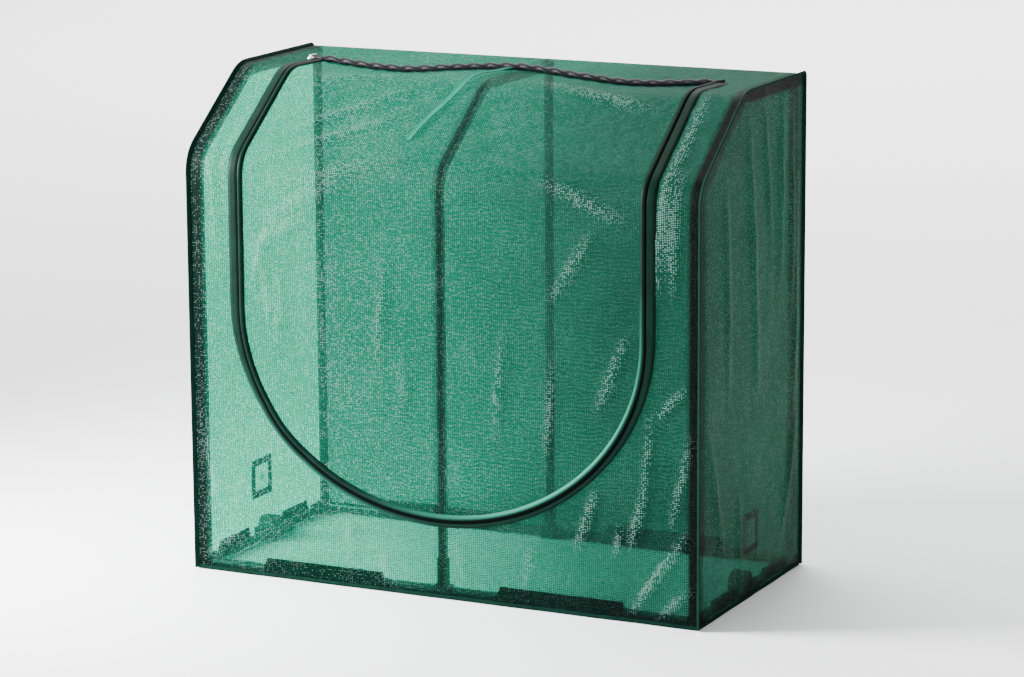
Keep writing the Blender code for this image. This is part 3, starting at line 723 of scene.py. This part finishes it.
def net_material(name, colour, glow, solid, fade, sparkle):
    """Knitted see-through net with painted shade where it lies on the frame and beside its creases, deepening
    by fade towards its far side, and with painted glints.
    """
    n = Nodes(name)
    pattern = knit_pattern(n)
    chain, luck = pattern["chain"], pattern["luck"]
    # Painted shade towards the far side: 1 on the near side, falling to fade.
    painted_fade = n.ramp(pattern["across"], *PAINTED_FADE_SPAN, 1.0, fade)
    glint = net_glint(n, pattern, painted_fade, sparkle)
    # How much of the colour stays after the painted shade over the frame, beside creases and towards the far
    # side; the rest is mixed to black.
    dim = n.times(painted_fade, n.ramp(n.share("touch"), 0.0, 1.0, 1.0, 0.10, smooth=False))
    dark = n.math("SUBTRACT", 1.0, dim)
    shade = n.mix_colour(n.ramp(pattern["broad"], 0.35, 0.65), scaled(colour, 0.7), colour)
    shade = n.mix_colour(n.times(chain, 0.5), shade, scaled(colour, 0.4))
    # Painted shade mixed towards black, then painted glints in pale green.
    shade = n.mix_colour(glint, n.mix_colour(dark, shade, (0.0, 0.0, 0.0)), (0.55, 0.74, 0.68))
    relief = n.math("ADD", n.times(chain, 0.6), n.times(luck[2], 0.5))
    face = n.principled(Base_Color=shade, Roughness=0.45, Normal=n.bump(relief, 0.5, 0.0006))
    face.inputs["Specular IOR Level"].default_value = 0.06
    lit = n.mix_colour(luck[2], glow, scaled(glow, 0.45))
    lit = n.mix_colour(n.times(chain, 0.75), lit, scaled(glow, 0.25))
    # The same painted shade and painted glints in the light that comes through.
    lit = n.mix_colour(glint, n.mix_colour(dark, lit, (0.0, 0.0, 0.0)), (0.75, 0.90, 0.85))
    through = n.add("ShaderNodeBsdfTranslucent")
    n.link(lit, through.inputs["Color"])
    clear = n.add("ShaderNodeBsdfTransparent")
    n.link(n.mix_colour(pattern["cloth"], (0.48, 0.86, 0.76), (0.05, 0.50, 0.34)), clear.inputs["Color"])
    body = n.mix_shader(0.5, face.outputs[0], through.outputs[0])
    # Painted glints are made nearly solid.
    cover = n.math("MAXIMUM", net_cover(n, pattern, solid), n.times(glint, 0.9))
    return n.finish(n.mix_shader(cover, clear.outputs[0], body))


def tube_material():
    """Dark powder coat with fine orange peel, a few scuffs and slightly worn highlights."""
    n = Nodes("powder_coat")
    where = object_coordinates(n)
    peel = n.noise(where, 900.0, 2.0)
    scuff = n.ramp(n.noise(where, 45.0, 5.0, 0.65), 0.60, 0.72)
    colour = n.mix_colour(n.times(scuff, 0.35), (0.0085, 0.0150, 0.0130), (0.030, 0.042, 0.038))
    rough = n.math("ADD", 0.34, n.times(scuff, 0.2))
    shader = n.principled(Base_Color=colour, Roughness=rough, Normal=n.bump(peel, 0.18, 0.0004))
    shader.inputs["Coat Weight"].default_value = 0.15
    return n.finish(shader.outputs[0])


def fitting_material():
    """Moulded black plastic with a spark-eroded grain."""
    n = Nodes("moulded_plastic")
    where = object_coordinates(n)
    grain = n.noise(where, 1400.0, 2.0)
    dust = n.ramp(n.noise(where, 80.0, 4.0), 0.5, 0.75)
    colour = n.mix_colour(n.times(dust, 0.3), (0.010, 0.012, 0.011), (0.028, 0.032, 0.030))
    shader = n.principled(Base_Color=colour, Roughness=n.ramp(grain, 0.3, 0.7, 0.38, 0.56),
                          Normal=n.bump(grain, 0.25, 0.0003))
    return n.finish(shader.outputs[0])


def woven_material(name, dark, light, pitch, rough, shine, depth):
    """Tape or binding: a fine twill of uneven threads, with a pale sage laid on as painted light where the
    piece has a share of it on its lit edges.
    """
    n = Nodes(name)
    where = object_coordinates(n)
    split = n.add("ShaderNodeSeparateXYZ")
    n.link(where, split.inputs[0])
    level = n.math("ADD", split.outputs[0], split.outputs[1])
    rib = n.math("SINE", n.times(n.math("ADD", level, split.outputs[2]), 2 * math.pi / pitch))
    cross = n.math("SINE", n.times(n.math("SUBTRACT", split.outputs[2], level), 2 * math.pi / pitch))
    weave = n.times(n.math("ADD", rib, cross), 0.5)
    thread = n.noise(where, 600.0, 3.0)
    wear = n.noise(where, 30.0, 4.0)
    factor = n.math("ADD", n.times(thread, 0.6), n.times(wear, 0.4))
    colour = n.mix_colour(n.ramp(factor, 0.3, 0.7), dark, light)
    # Painted light: a pale sage colour laid on a tape's edges that face the lamp.
    painted_light = n.mix_colour(thread, (0.006, 0.090, 0.056), (0.014, 0.135, 0.088))
    colour = n.mix_colour(n.share("painted_light"), colour, painted_light)
    height = n.math("ADD", n.times(weave, 0.5), thread)
    shader = n.principled(Base_Color=colour, Roughness=n.ramp(thread, 0.3, 0.7, rough, rough + 0.2),
                          Normal=n.bump(height, depth, 0.0003))
    shader.inputs["Specular IOR Level"].default_value = shine
    return n.finish(shader.outputs[0])


def metal_material(name, colour, rough):
    """Plated metal with faint drag marks."""
    n = Nodes(name)
    where = object_coordinates(n)
    marks = n.noise(where, 1500.0, 3.0, 0.7)
    shader = n.principled(Base_Color=n.mix_colour(marks, scaled(colour, 0.85), colour),
                          Roughness=n.ramp(marks, 0.3, 0.7, rough, rough + 0.18), Metallic=1.0,
                          Normal=n.bump(marks, 0.15, 0.0002))
    return n.finish(shader.outputs[0])


def floor_material():
    n = Nodes("studio_floor")
    where = object_coordinates(n)
    tone = n.noise(where, 1.5, 3.0)
    colour = n.mix_colour(tone, (0.86, 0.865, 0.87), (0.88, 0.885, 0.89))
    shader = n.principled(Base_Color=colour, Roughness=0.85)
    return n.finish(shader.outputs[0])


# Name, colour, colour of the light that comes through, how solid near and far, fade (painted shade towards
# the far side), sparkle (strength of the painted glints). All four are one cloth: the brighter rear copy is
# painted light and the dark right end copy is painted shade.
NET_LOOKS = {
    "net": ("knitted_net", (0.006, 0.110, 0.070), (0.012, 0.380, 0.255), (0.52, 0.86), 0.34, 0.85),
    "rear_net": ("knitted_net_rear", (0.020, 0.190, 0.130), (0.030, 0.640, 0.450), (0.52, 0.86), 0.34, 0.7),
    "left_net": ("knitted_net_left", (0.004, 0.100, 0.066), (0.004, 0.330, 0.225), (0.56, 0.56), 1.0, 0.4),
    "right_net": ("knitted_net_right", (0.001, 0.022, 0.014), (0.001, 0.040, 0.025), (0.93, 0.93), 1.0, 0.2),
}
# Name, dark and light thread, pitch of the twill, roughness, shine, depth of the weave
WOVEN_LOOKS = {
    "binding": ("seam_binding", (0.001, 0.009, 0.006), (0.003, 0.018, 0.012), 0.0016, 0.65, 0.02, 0.5),
    "zip_tape": ("zip_tape", (0.001, 0.007, 0.004), (0.002, 0.014, 0.009), 0.0018, 0.36, 0.03, 0.2),
    "coil": ("zip_coil", (0.000, 0.001, 0.001), (0.001, 0.002, 0.002), 0.0014, 0.60, 0.01, 0.3),
    "band": ("twisted_band", (0.001, 0.001, 0.002), (0.004, 0.004, 0.006), 0.0020, 0.34, 0.10, 0.3),
    "tie": ("tie_tape", (0.002, 0.085, 0.052), (0.006, 0.140, 0.088), 0.0016, 0.60, 0.05, 0.5),
    "tab": ("hook_tape", (0.002, 0.014, 0.010), (0.005, 0.026, 0.018), 0.0012, 0.75, 0.10, 0.9),
    "patch": ("patch_tape", (0.002, 0.016, 0.011), (0.006, 0.030, 0.022), 0.0016, 0.65, 0.15, 0.5),
}
# Name, colour, roughness
METAL_LOOKS = {
    "slider": ("plated_metal", (0.80, 0.78, 0.72), 0.20),
    "rivet": ("steel", (0.50, 0.50, 0.50), 0.30),
    "eyelet": ("eyelet_plate", (0.85, 0.86, 0.84), 0.45),
}
MATS = {"tube": tube_material(), "fitting": fitting_material()}
for maker, looks in ((net_material, NET_LOOKS), (woven_material, WOVEN_LOOKS), (metal_material, METAL_LOOKS)):
    MATS.update({key: maker(*values) for key, values in looks.items()})


# ---------------- net pieces

def steps(low, high, cell=CELL):
    return np.linspace(low, high, int(math.ceil((high - low) / cell)) + 1)


def make_cover_and_door():
    """One stretched net cut by the door's edge, so the two pieces meet exactly under the zip."""
    xs = steps(-HALF_WIDTH + EDGE_IN, HALF_WIDTH - EDGE_IN)
    ss = steps(FOOT_GAP, S_END - EDGE_IN)
    uu, vv = np.meshgrid(xs, ss, indexing="xy")
    # Painted glints along the creases, painted shade beside each crease on its side away from the lamp, and
    # painted shade over the hoops and the base bar.
    fold = cover_creases(uu, vv)
    shaded = LEE_SHADE * cover_creases(uu - LEE, vv) * (1 - 0.6 * fold)
    touch = np.maximum(np.maximum(hoop_shade(uu), base_shade(uu, vv)), shaded)

    def in_door(x, s):
        return (door_distance(x, s) < 0) & (s < DOOR_TOP - DOOR_GAP)

    def round_door(x, s):
        return ~in_door(x, s)

    made = []
    for name, keep in (("cover_net", round_door), ("door_net", in_door)):
        made.append(grid_sheet(name, xs, ss, cover_point, MATS["net"], keep, fold=fold, touch=touch))
    return made


def top_at(y):
    """Height of the cover's outline above a place y."""
    point, _, _ = profile(np.linspace(S_LOW, S_END, 1200))
    return np.interp(y, point[:, 0], point[:, 1]) - EDGE_IN


def make_end_net(side, part):
    """One end's net: a lower part up to the pleat line, or an upper part by the roof."""
    sign = SIDES[side]
    ys = steps(FRONT_Y + EDGE_IN, REAR_Y - EDGE_IN)
    rows = steps(0, 1, CELL / (PLEAT_Z if part == "lower" else ROOF_Z - PLEAT_Z))

    def height(y, t):
        if part == "lower":
            return FOOT_GAP + t * (PLEAT_Z - FOOT_GAP)
        return PLEAT_Z + t * (top_at(y) - PLEAT_Z)

    def place_at(y, t):
        z = height(y, t)
        return np.stack([sign * (HALF_WIDTH - EDGE_IN + end_height(y, z, sign)), y, z], -1)

    def knit(y, t):
        return y, height(y, t), 0 * y

    yy, tt = np.meshgrid(ys, rows, indexing="xy")
    zz = height(yy, tt)
    # Creases mask the painted glints; the net is painted in shade near its front and roof edges, over the
    # hoop's tube.
    fold = crease_share(np.abs(np.gradient(end_height(yy, zz, sign), CELL, axis=1)))
    touch = 1 - rise_over(inward_depth(yy, zz) - TUBE_DEPTH - SHADE_HALF, SHADE_FADE)
    name = f"end_net_{side}_{part}"
    return grid_sheet(name, ys, rows, place_at, MATS[f"{side}_net"], knit=knit, fold=fold, touch=touch)


def make_rear_net():
    xs = steps(-HALF_WIDTH + EDGE_IN, HALF_WIDTH - EDGE_IN)
    zs = steps(FOOT_GAP, ROOF_Z - EDGE_IN)

    def place_at(x, z):
        return np.stack([x, REAR_Y - EDGE_IN + rear_height(x, z), z], -1)

    def knit(x, z):
        return REAR_SCALE * x + REAR_SHIFT, REAR_SCALE * z + REAR_SHIFT, REAR_SHIFT + 0 * x

    # Creases mask the painted glints.
    rises = np.gradient(rear_height(*np.meshgrid(xs, zs, indexing="xy")), CELL)
    fold = crease_share(np.hypot(*rises))
    return grid_sheet("rear_net", xs, zs, place_at, MATS["rear_net"], knit=knit, fold=fold)


# ---------------- zip

def zip_path(top, count_side=60, count_arc=56):
    """Points (x, s) and outward directions round the door, from the left end to the right."""
    right = [(DOOR_HALF, s, 1.0, 0.0) for s in np.linspace(top, DOOR_ARC_Z, count_side)]
    for a in np.linspace(0, math.pi / 2, count_arc)[1:]:
        nx, ns = math.cos(a) / DOOR_HALF, -math.sin(a) / DOOR_ARC_RISE
        size = math.hypot(nx, ns)
        x, s = DOOR_HALF * math.cos(a), DOOR_ARC_Z - DOOR_ARC_RISE * math.sin(a)
        right.append((x, s, nx / size, ns / size))
    left = [(-x, s, -nx, ns) for x, s, nx, ns in right[:-1]]
    return np.array(left + right[::-1])


def zip_frames(path, lift=0.0):
    """Centres on the net, with directions outwards from the door and out of the cover."""
    x, s, nx, ns = path.T
    centre = cover_point(x, s, lift, fine=False)
    _, normal, direction = profile(s)
    across = np.stack([nx, ns * direction[:, 0], ns * direction[:, 1]], 1)
    out = np.stack([np.zeros(len(s)), normal[:, 0], normal[:, 1]], 1)
    return centre, across, out


# Closed sections, as (outwards from the door, out of the cover), and how much painted light, a pale sage,
# each point gets
OUTER_SECTION = [
    (0.0016, 0.0026), (0.0024, 0.0032), (0.0060, 0.0028), (0.0110, 0.0032), (0.0160, 0.0026),
    (0.0176, 0.0008), (0.0172, -0.0004), (0.0070, 0.0010), (0.0018, 0.0014),
]
INNER_SECTION = [
    (-0.0018, 0.0014), (-0.0060, 0.0014), (-0.0096, -0.0004), (-0.0102, 0.0005), (-0.0096, 0.0020),
    (-0.0062, 0.0043), (-0.0040, 0.0046), (-0.0016, 0.0038),
]
COIL_SECTION = [
    (-0.0014, 0.0010), (0.0014, 0.0010), (0.0016, 0.0030), (0.0010, 0.0040), (0.0, 0.0042),
    (-0.0010, 0.0040), (-0.0015, 0.0030),
]
OUTER_PAINTED_LIGHT = [0.0, 0.0, 0.0, 0.2, 0.8, 1.0, 0.6, 0.0, 0.0]
INNER_PAINTED_LIGHT = [0.0, 0.0, 0.2, 0.9, 1.0, 1.0, 0.4, 0.0]


def set_painted_light(tape, along, ring):
    """How much painted light, a pale sage, a tape's edges get, from a share along its run and one round its
    section.
    """
    set_attribute(tape, "painted_light", along[:, None] * np.array(ring[::-1])[None, :], "FLOAT")


def make_zip():
    """The two tapes and the coil. Round the arc the outer tape narrows and the coil widens."""
    path = zip_path(s_on_roof(BAND_Y) - ZIP_END_GAP)
    door_path = zip_path(DOOR_TOP - TAPE_GAP)
    run = zip_frames(path)
    arc = rise_over(DOOR_ARC_Z + 0.02 - path[:, 1], 0.22)
    outer = sweep("zip_tape_outer", *run, OUTER_SECTION[::-1], MATS["zip_tape"], 1 - 0.34 * arc)
    inner = sweep("zip_tape_inner", *zip_frames(door_path), INNER_SECTION[::-1], MATS["zip_tape"])
    coil = sweep("zip_coil", *run, COIL_SECTION, MATS["coil"], 1 + 1.6 * arc)
    # Painted light in pale sage: on the outer tape's edge round the left of the arc, and on the door tape low
    # on the right, where the tapes face the lamp.
    set_painted_light(outer, np.clip(arc - 0.3, 0, 1) * rise_over(-path[:, 0], 0.15), OUTER_PAINTED_LIGHT)
    low = rise_over(DOOR_ARC_Z + 0.10 - door_path[:, 1], 0.30)
    set_painted_light(inner, low * np.clip(0.5 + door_path[:, 0] / 0.30, 0, 1), INNER_PAINTED_LIGHT)
    return {"frame": outer, "door": inner, "coil": coil}


# ---------------- band and tie tape

def make_top_band():
    """Binding twisted into a rope along the door's top seam, slack between the hoops."""
    xs = np.linspace(-BAND_REACH, BAND_REACH, BAND_RINGS)
    centre = cover_point(xs, s_on_roof(BAND_Y) - BAND_SLACK * between_hoops(xs), BAND_LIFT)
    ends = np.clip(np.minimum(xs + BAND_REACH, BAND_REACH - xs) / 0.03, 0.25, 1) ** 0.6
    verts = []
    for x, middle, full in zip(xs, centre, ends):
        twist = 2 * math.pi * x / BAND_PITCH
        for j in range(BAND_SIDES):
            a = 2 * math.pi * j / BAND_SIDES
            r = full * (1 + 0.17 * math.cos(2 * (a - twist)) + 0.03 * math.cos(5 * (a - 1.7 * twist)))
            verts.append(middle + np.array([0.0, BAND_DEEP * r * math.cos(a), BAND_HIGH * r * math.sin(a)]))
    return add_object("top_seam_band", verts, skin(BAND_RINGS, BAND_SIDES), MATS["band"])


def make_tie_tape():
    """Tape that hangs askew from the door's top seam."""
    t = np.linspace(0, 1, 60)
    s = DOOR_TOP - TAPE_GAP - TIE_LENGTH * t
    x = TIE_DRIFT * t ** 1.15 + 0.004 * np.sin(5 * t)
    width = TIE_WIDTH * (1 - 0.12 * t)
    lift = 0.0035 + 0.0020 * np.sin(math.pi * t) + 0.0008 * np.sin(17 * t)
    rows = []
    for side in (-0.5, -0.17, 0.17, 0.5):
        curl = 0.0006 * (abs(side) * 2) ** 2
        rows.append(cover_point(x + side * width, s, lift + curl))
    return thick_grid("tie_tape_strip", rows, 0.0010, MATS["tie"])


# ---------------- bindings, hems, tabs, patches

def end_outline():
    """Points and outward normals, as (y, z) rows, over an end from front to roof, and down its back."""
    point, normal, _ = profile(np.linspace(HEM_INSET, S_END - CORNER_R, 170))
    turn = np.linspace(math.pi / 2, 0, 12)[1:]
    round_normal = np.stack([np.cos(turn), np.sin(turn)], 1)
    round_point = np.array([REAR_Y - CORNER_R, ROOF_Z - CORNER_R]) + CORNER_R * round_normal
    drop = np.linspace(ROOF_Z - CORNER_R, HEM_INSET, 120)
    back_point = np.stack([np.full(len(drop), REAR_Y), drop], 1)
    back_normal = np.tile([1.0, 0.0], (len(drop), 1))
    over = (np.concatenate([point, round_point]), np.concatenate([normal, round_normal]))
    return {"front": over, "rear": (back_point, back_normal)}


BINDING_SECTION = [
    (-0.0011, -0.0012), (0.0011, -0.0012), (0.0012, 0.0045), (0.0008, 0.0058), (0.0, 0.0062),
    (-0.0008, 0.0058), (-0.0012, 0.0045),
]


def make_end_binding(side):
    """Folded tape over the seam round an end: one length over the roof, one down the back."""
    sign = SIDES[side]
    slant = math.sqrt(0.5)
    made = []
    for end, (point, normal) in end_outline().items():
        centres = [np.array([sign * (HALF_WIDTH - 0.001), y, z]) for y, z in point]
        outs = [np.array([sign * slant, slant * y, slant * z]) for y, z in normal]
        acrosses = [np.array([sign * slant, -slant * y, -slant * z]) for y, z in normal]
        name = f"{end}_binding_{side}"
        made.append(sweep(name, centres, acrosses, outs, BINDING_SECTION, MATS["binding"]))
    return made


def make_hem(name, points, out):
    """A flat strip that stands along the foot of a panel and faces outwards."""
    section = [(0.0, 0.0), (HEM_HEIGHT, 0.0), (HEM_HEIGHT, HEM_THICK), (HEM_HEIGHT / 2, 1.4 * HEM_THICK),
               (0.0, HEM_THICK)]
    count = len(points)
    return sweep(name, points, [(0.0, 0.0, 1.0)] * count, [out] * count, section, MATS["binding"])


def make_hems():
    """Turned-up hems along every panel's foot, each with the frame it rides on. The ends have none."""
    made = []
    xs = np.linspace(-HALF_WIDTH + HEM_INSET, HALF_WIDTH - HEM_INSET, 120)
    runs = (("front_hem", FRONT_Y, -1, "front_frame"), ("rear_hem", REAR_Y, 1, "rear_frame"))
    for name, y, out, body in runs:
        points = [(x, y - out * HEM_SINK, HEM_FOOT + HEM_WAVE * math.sin(40 * x)) for x in xs]
        made.append((make_hem(name, points[::-out], (0.0, float(out), 0.0)), body))
    ys = np.linspace(FRONT_Y + HEM_INSET, REAR_Y - HEM_INSET, 60)
    for side, sign in SIDES.items():
        points = [(sign * (HALF_WIDTH - HEM_SINK), y, HEM_FOOT + HEM_WAVE * math.sin(50 * y)) for y in ys]
        made.append((make_hem(f"end_hem_{side}", points[::sign], (float(sign), 0.0, 0.0)), None))
    return made


def wrap_points(along, start, stop, slant, bar_r, place_at, flap_top, rows=7):
    """Grid of points of a tab: a flap beside the bar that turns under it and up again behind."""
    inner = bar_r + WRAP_CLEAR
    path = [(inner, flap_top * k / rows) for k in range(rows, 0, -1)]
    path += [(inner * math.cos(a), -inner * math.sin(a)) for a in np.linspace(0, WRAP_TURN, 16)]
    grid = []
    for out, up in path:
        cut = slant * max(up, 0) / flap_top
        grid.append([place_at(t, out, up) for t in np.linspace(start + cut, stop - cut, along)])
    return np.array(grid)


def make_cross_tab(end, side):
    name = f"{end}_tab_{side}"
    low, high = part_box(name)
    front = -1 if end == "front" else 1
    flap = high.z - BAR_Z

    def place_at(t, out, up):
        wave = TAB_WAVE * math.sin(t * 90) * max(up, 0) / flap
        return (t, front * (BAR_Y + out + wave), BAR_Z + up)

    grid = wrap_points(40, low.x, high.x, TAB_SLANT, BAR_R, place_at, flap)
    flat = (high.x - low.x, flap + WRAP_TURN * (BAR_R + WRAP_CLEAR))
    return name, thick_grid(f"{end}_wrap_{side}", grid, 0.0011, MATS["tab"]), flat


def make_side_tab(end, side):
    name = f"{end}_side_tab_{side}"
    low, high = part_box(name)
    sign = SIDES[side]
    bar_low, bar_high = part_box(f"{end}_side_bar_{side}")
    bar_r = (bar_high.z - bar_low.z) / 2
    flap = high.z - BAR_Z

    def place_at(t, out, up):
        return (sign * (HOOP_X + out), t, BAR_Z + up)

    grid = wrap_points(24, low.y, high.y, SIDE_TAB_SLANT, bar_r, place_at, flap)
    flat = (high.y - low.y, flap + WRAP_TURN * (bar_r + WRAP_CLEAR))
    return name, thick_grid(f"{end}_side_wrap_{side}", grid, 0.0010, MATS["tab"]), flat


def make_patch(side):
    """Square of tape sewn inside the end panel, as rings of points from its edge inwards."""
    x = SIDES[side] * PATCH_X
    half = (PATCH_HIGH.z - PATCH_LOW.z) / 2 - PATCH_EDGE
    rings = []
    for inset in PATCH_INSETS:
        h = half - inset
        corners = [(-h, -h), (h, -h), (h, h), (-h, h)]
        ring = []
        for (a, b), (c, d) in zip(corners, corners[1:] + corners[:1]):
            for t in np.arange(8) / 8:
                ring.append((x, PATCH_Y + a + (c - a) * t, PATCH_Z + b + (d - b) * t))
        rings.append(ring + ring[:1])
    return thick_grid(f"patch_tape_{side}", rings, 0.0008, MATS["patch"])


def make_eyelet(side):
    """Pressed ring at the centre of a port patch."""
    turns = np.linspace(0, 2 * math.pi, 29)
    rings = []
    for radius, rise in EYELET_RINGS:
        x = SIDES[side] * (PATCH_X - rise)
        rings.append([(x, PATCH_Y + radius * math.cos(t), PATCH_Z + radius * math.sin(t)) for t in turns])
    return thick_grid(f"patch_eyelet_{side}", rings, 0.0007, MATS["eyelet"])


# ---------------- slider and puller

SLIDER_LEVELS = ((0.0, 0.90), (0.0006, 1.0), (0.0016, 1.0), (0.0028, 0.92), (0.0034, 0.74))
BRIDGE_SECTION = [
    (-0.0012, -0.0005), (0.0012, -0.0005), (0.0014, 0.0),
    (0.0012, 0.0005), (-0.0012, 0.0005), (-0.0014, 0.0),
]


def slider_outline(width, length, count=28):
    """Points of a rounded oblong that widens a little along its length."""
    outline = []
    for k in range(count):
        a = 2 * math.pi * k / count
        x = math.copysign(abs(math.cos(a)) ** 0.6, math.cos(a)) * width / 2
        y = math.copysign(abs(math.sin(a)) ** 0.6, math.sin(a)) * length / 2
        outline.append((x * (1.0 + 0.18 * y / length), y))
    return outline


def make_slider():
    """The slider's body and the arch over it that holds the puller."""
    low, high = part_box("zip_slider")
    cx, cy = (low.x + high.x) / 2, (low.y + high.y) / 2
    outline = slider_outline(high.x - low.x, high.y - low.y)
    verts = []
    for rise, share in SLIDER_LEVELS:
        verts += [(cx + x * share, cy + y * share, low.z + rise) for x, y in outline]
    body = add_object("slider_body", verts, skin(len(SLIDER_LEVELS), len(outline)), MATS["slider"])
    body.data.set_sharp_from_angle(angle=math.radians(40))
    turns = np.linspace(0, math.pi, 13)
    foot = low.z + BRIDGE_FOOT
    arch = [(cx, cy - BRIDGE_HALF * math.cos(t), foot + BRIDGE_RISE * math.sin(t)) for t in turns]
    outs = [np.cross([1.0, 0.0, 0.0], t / np.linalg.norm(t)) for t in np.gradient(np.array(arch), axis=0)]
    across = [(1.0, 0.0, 0.0)] * len(arch)
    return body, sweep("slider_bridge", arch, across, outs, BRIDGE_SECTION, MATS["slider"])


def puller_share(t):
    """The puller's width at a share t of its length: narrow, swelling, then a rounded tip."""
    swell = 0.72 + 0.28 * math.sin(math.pi * min(t * 1.15, 1.0)) ** 2
    tip = math.sqrt(max(1 - ((t - 0.93) / 0.072) ** 2, 0.02)) if t >= 0.93 else 1.0
    return swell * tip


def make_puller():
    """Long flat puller, a little thicker along its middle."""
    low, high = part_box("zip_puller")
    cx, cz = (low.x + high.x) / 2, (low.z + high.z) / 2
    half = (high.x - low.x) / 2
    ys = np.linspace(low.y + 0.0004, high.y, 26)
    shares = [puller_share((y - ys[0]) / (ys[-1] - ys[0])) for y in ys]
    rows = []
    for side in np.linspace(-1, 1, 7):
        z = cz + 0.0003 * (1 - side ** 2) + 0.0002
        rows.append([(cx + side * half * share, y, z) for y, share in zip(ys, shares)])
    return thick_grid("puller_blade", rows, 0.0013, MATS["slider"])


# ---------------- studio

FLOOR = 40.0


def make_stage():
    corners = [(-FLOOR, -FLOOR, 0), (FLOOR, -FLOOR, 0), (FLOOR, FLOOR, 0), (-FLOOR, FLOOR, 0)]
    floor = add_object("studio_floor", corners, [(0, 1, 2, 3)], floor_material(), smooth=False)


def area_light(name, place, aim, size, power, spread=180):
    data = bpy.data.lights.new(name, "AREA")
    data.shape = "RECTANGLE"
    data.size, data.size_y = size
    data.energy = power
    data.spread = math.radians(spread)
    lamp = bpy.data.objects.new(name, data)
    lamp.location = place
    lamp.rotation_mode = "QUATERNION"
    lamp.rotation_quaternion = (Vector(aim) - Vector(place)).to_track_quat("-Z", "Y")
    lamp.visible_camera = False
    bpy.context.scene.collection.objects.link(lamp)


def make_lights():
    area_light("left_softbox", (-1.75, -0.95, 1.05), (-0.15, 0.0, 0.42), (1.0, 1.0), 120, 95)
    area_light("back_wash", (-2.0, 7.0, 5.0), (-3.0, 8.0, 0.0), (7.0, 7.0), 1100)
    sun = bpy.data.objects.new("sky_panel", bpy.data.lights.new("sky_panel", "SUN"))
    sun.data.energy = 4.0
    sun.data.angle = math.radians(50)
    sun.rotation_euler = (math.radians(-14), math.radians(-22), 0)
    bpy.context.scene.collection.objects.link(sun)
    world = bpy.data.worlds.new("studio")
    world.use_nodes = True
    world.node_tree.nodes["Background"].inputs[0].default_value = (1.0, 1.0, 1.0, 1.0)
    world.node_tree.nodes["Background"].inputs[1].default_value = 0.85
    bpy.context.scene.world = world


# ---------------- assembly

def dress_cad():
    """Procedural materials for the frame's own parts."""
    for name, node in frame["nodes"].items():
        slot = next(p["material_slot"] for p in frame["record"]["subparts"] if p["node"] == name)
        if slot in ("tube", "fitting", "rivet"):
            node.data.materials.clear()
            node.data.materials.append(MATS[slot])


def end_blend(piece):
    """Bake a piece of an end into its mesh where it stands; it is not shared between the two frames."""
    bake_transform(piece)


def place(piece, body, slot, *nodes):
    """Put a piece on its body and hide the CAD nodes it stands for. The slot is not used."""
    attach(piece, body)
    if nodes:
        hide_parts(*nodes)
    return piece


def build_nets(made):
    made["cover"], made["door"] = make_cover_and_door()
    place(made["cover"], "front_frame", "net", "front_panel", "shoulder_panel_left", "shoulder_panel_right",
          "roof_panel")
    place(made["door"], "door", "net", "door_panel")
    made["rear"] = place(make_rear_net(), "rear_frame", "net", "rear_panel")
    for side in SIDES:
        lower = make_end_net(side, "lower")
        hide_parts(f"end_panel_{side}")
        upper = make_end_net(side, "upper")
        end_blend(lower)
        end_blend(upper)
        made[f"lower_{side}"], made[f"upper_{side}"] = lower, upper


def build_trims(made):
    zips = make_zip()
    made["zip_frame"] = place(zips["frame"], "front_frame", "zip_tape", "zip_frame_tape")
    made["coil"] = place(zips["coil"], "front_frame", "zip_tape")
    made["zip_door"] = place(zips["door"], "door", "door_tape", "zip_door_tape")
    made["band"] = place(make_top_band(), "front_frame", "band", "top_band")
    made["tie"] = place(make_tie_tape(), "door", "tie", "tie_tape")
    for side in SIDES:
        front, back = make_end_binding(side)
        made[f"front_binding_{side}"] = place(front, "front_frame", "band")
        made[f"rear_binding_{side}"] = place(back, "rear_frame", "band")
        patch = make_patch(side)
        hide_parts(f"port_patch_{side}")
        eyelet = make_eyelet(side)
        for piece in (patch, eyelet):
            end_blend(piece)
        made[f"patch_{side}"], made[f"eyelet_{side}"] = patch, eyelet
    for hem, body in make_hems():
        made[hem.name] = hem
        if body:
            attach(hem, body)
        else:
            end_blend(hem)


def build_tabs():
    for end in ("front", "rear"):
        for side in SIDES:
            name, tab, flat = make_cross_tab(end, side)
            place(tab, f"{end}_frame", "tab", name)
            name, tab, flat = make_side_tab(end, side)
            place(tab, f"{end}_side_bar_{side}", "tab", name)


def build_slider():
    body, bridge = make_slider()
    place(body, "zip_slider", "slider", "zip_slider")
    place(bridge, "zip_slider", "slider")
    place(make_puller(), "zip_puller", "slider", "zip_puller")


def main():
    make_camera()
    make_stage()
    make_lights()
    dress_cad()
    made = {}
    build_nets(made)
    build_trims(made)
    build_tabs()
    build_slider()


main()
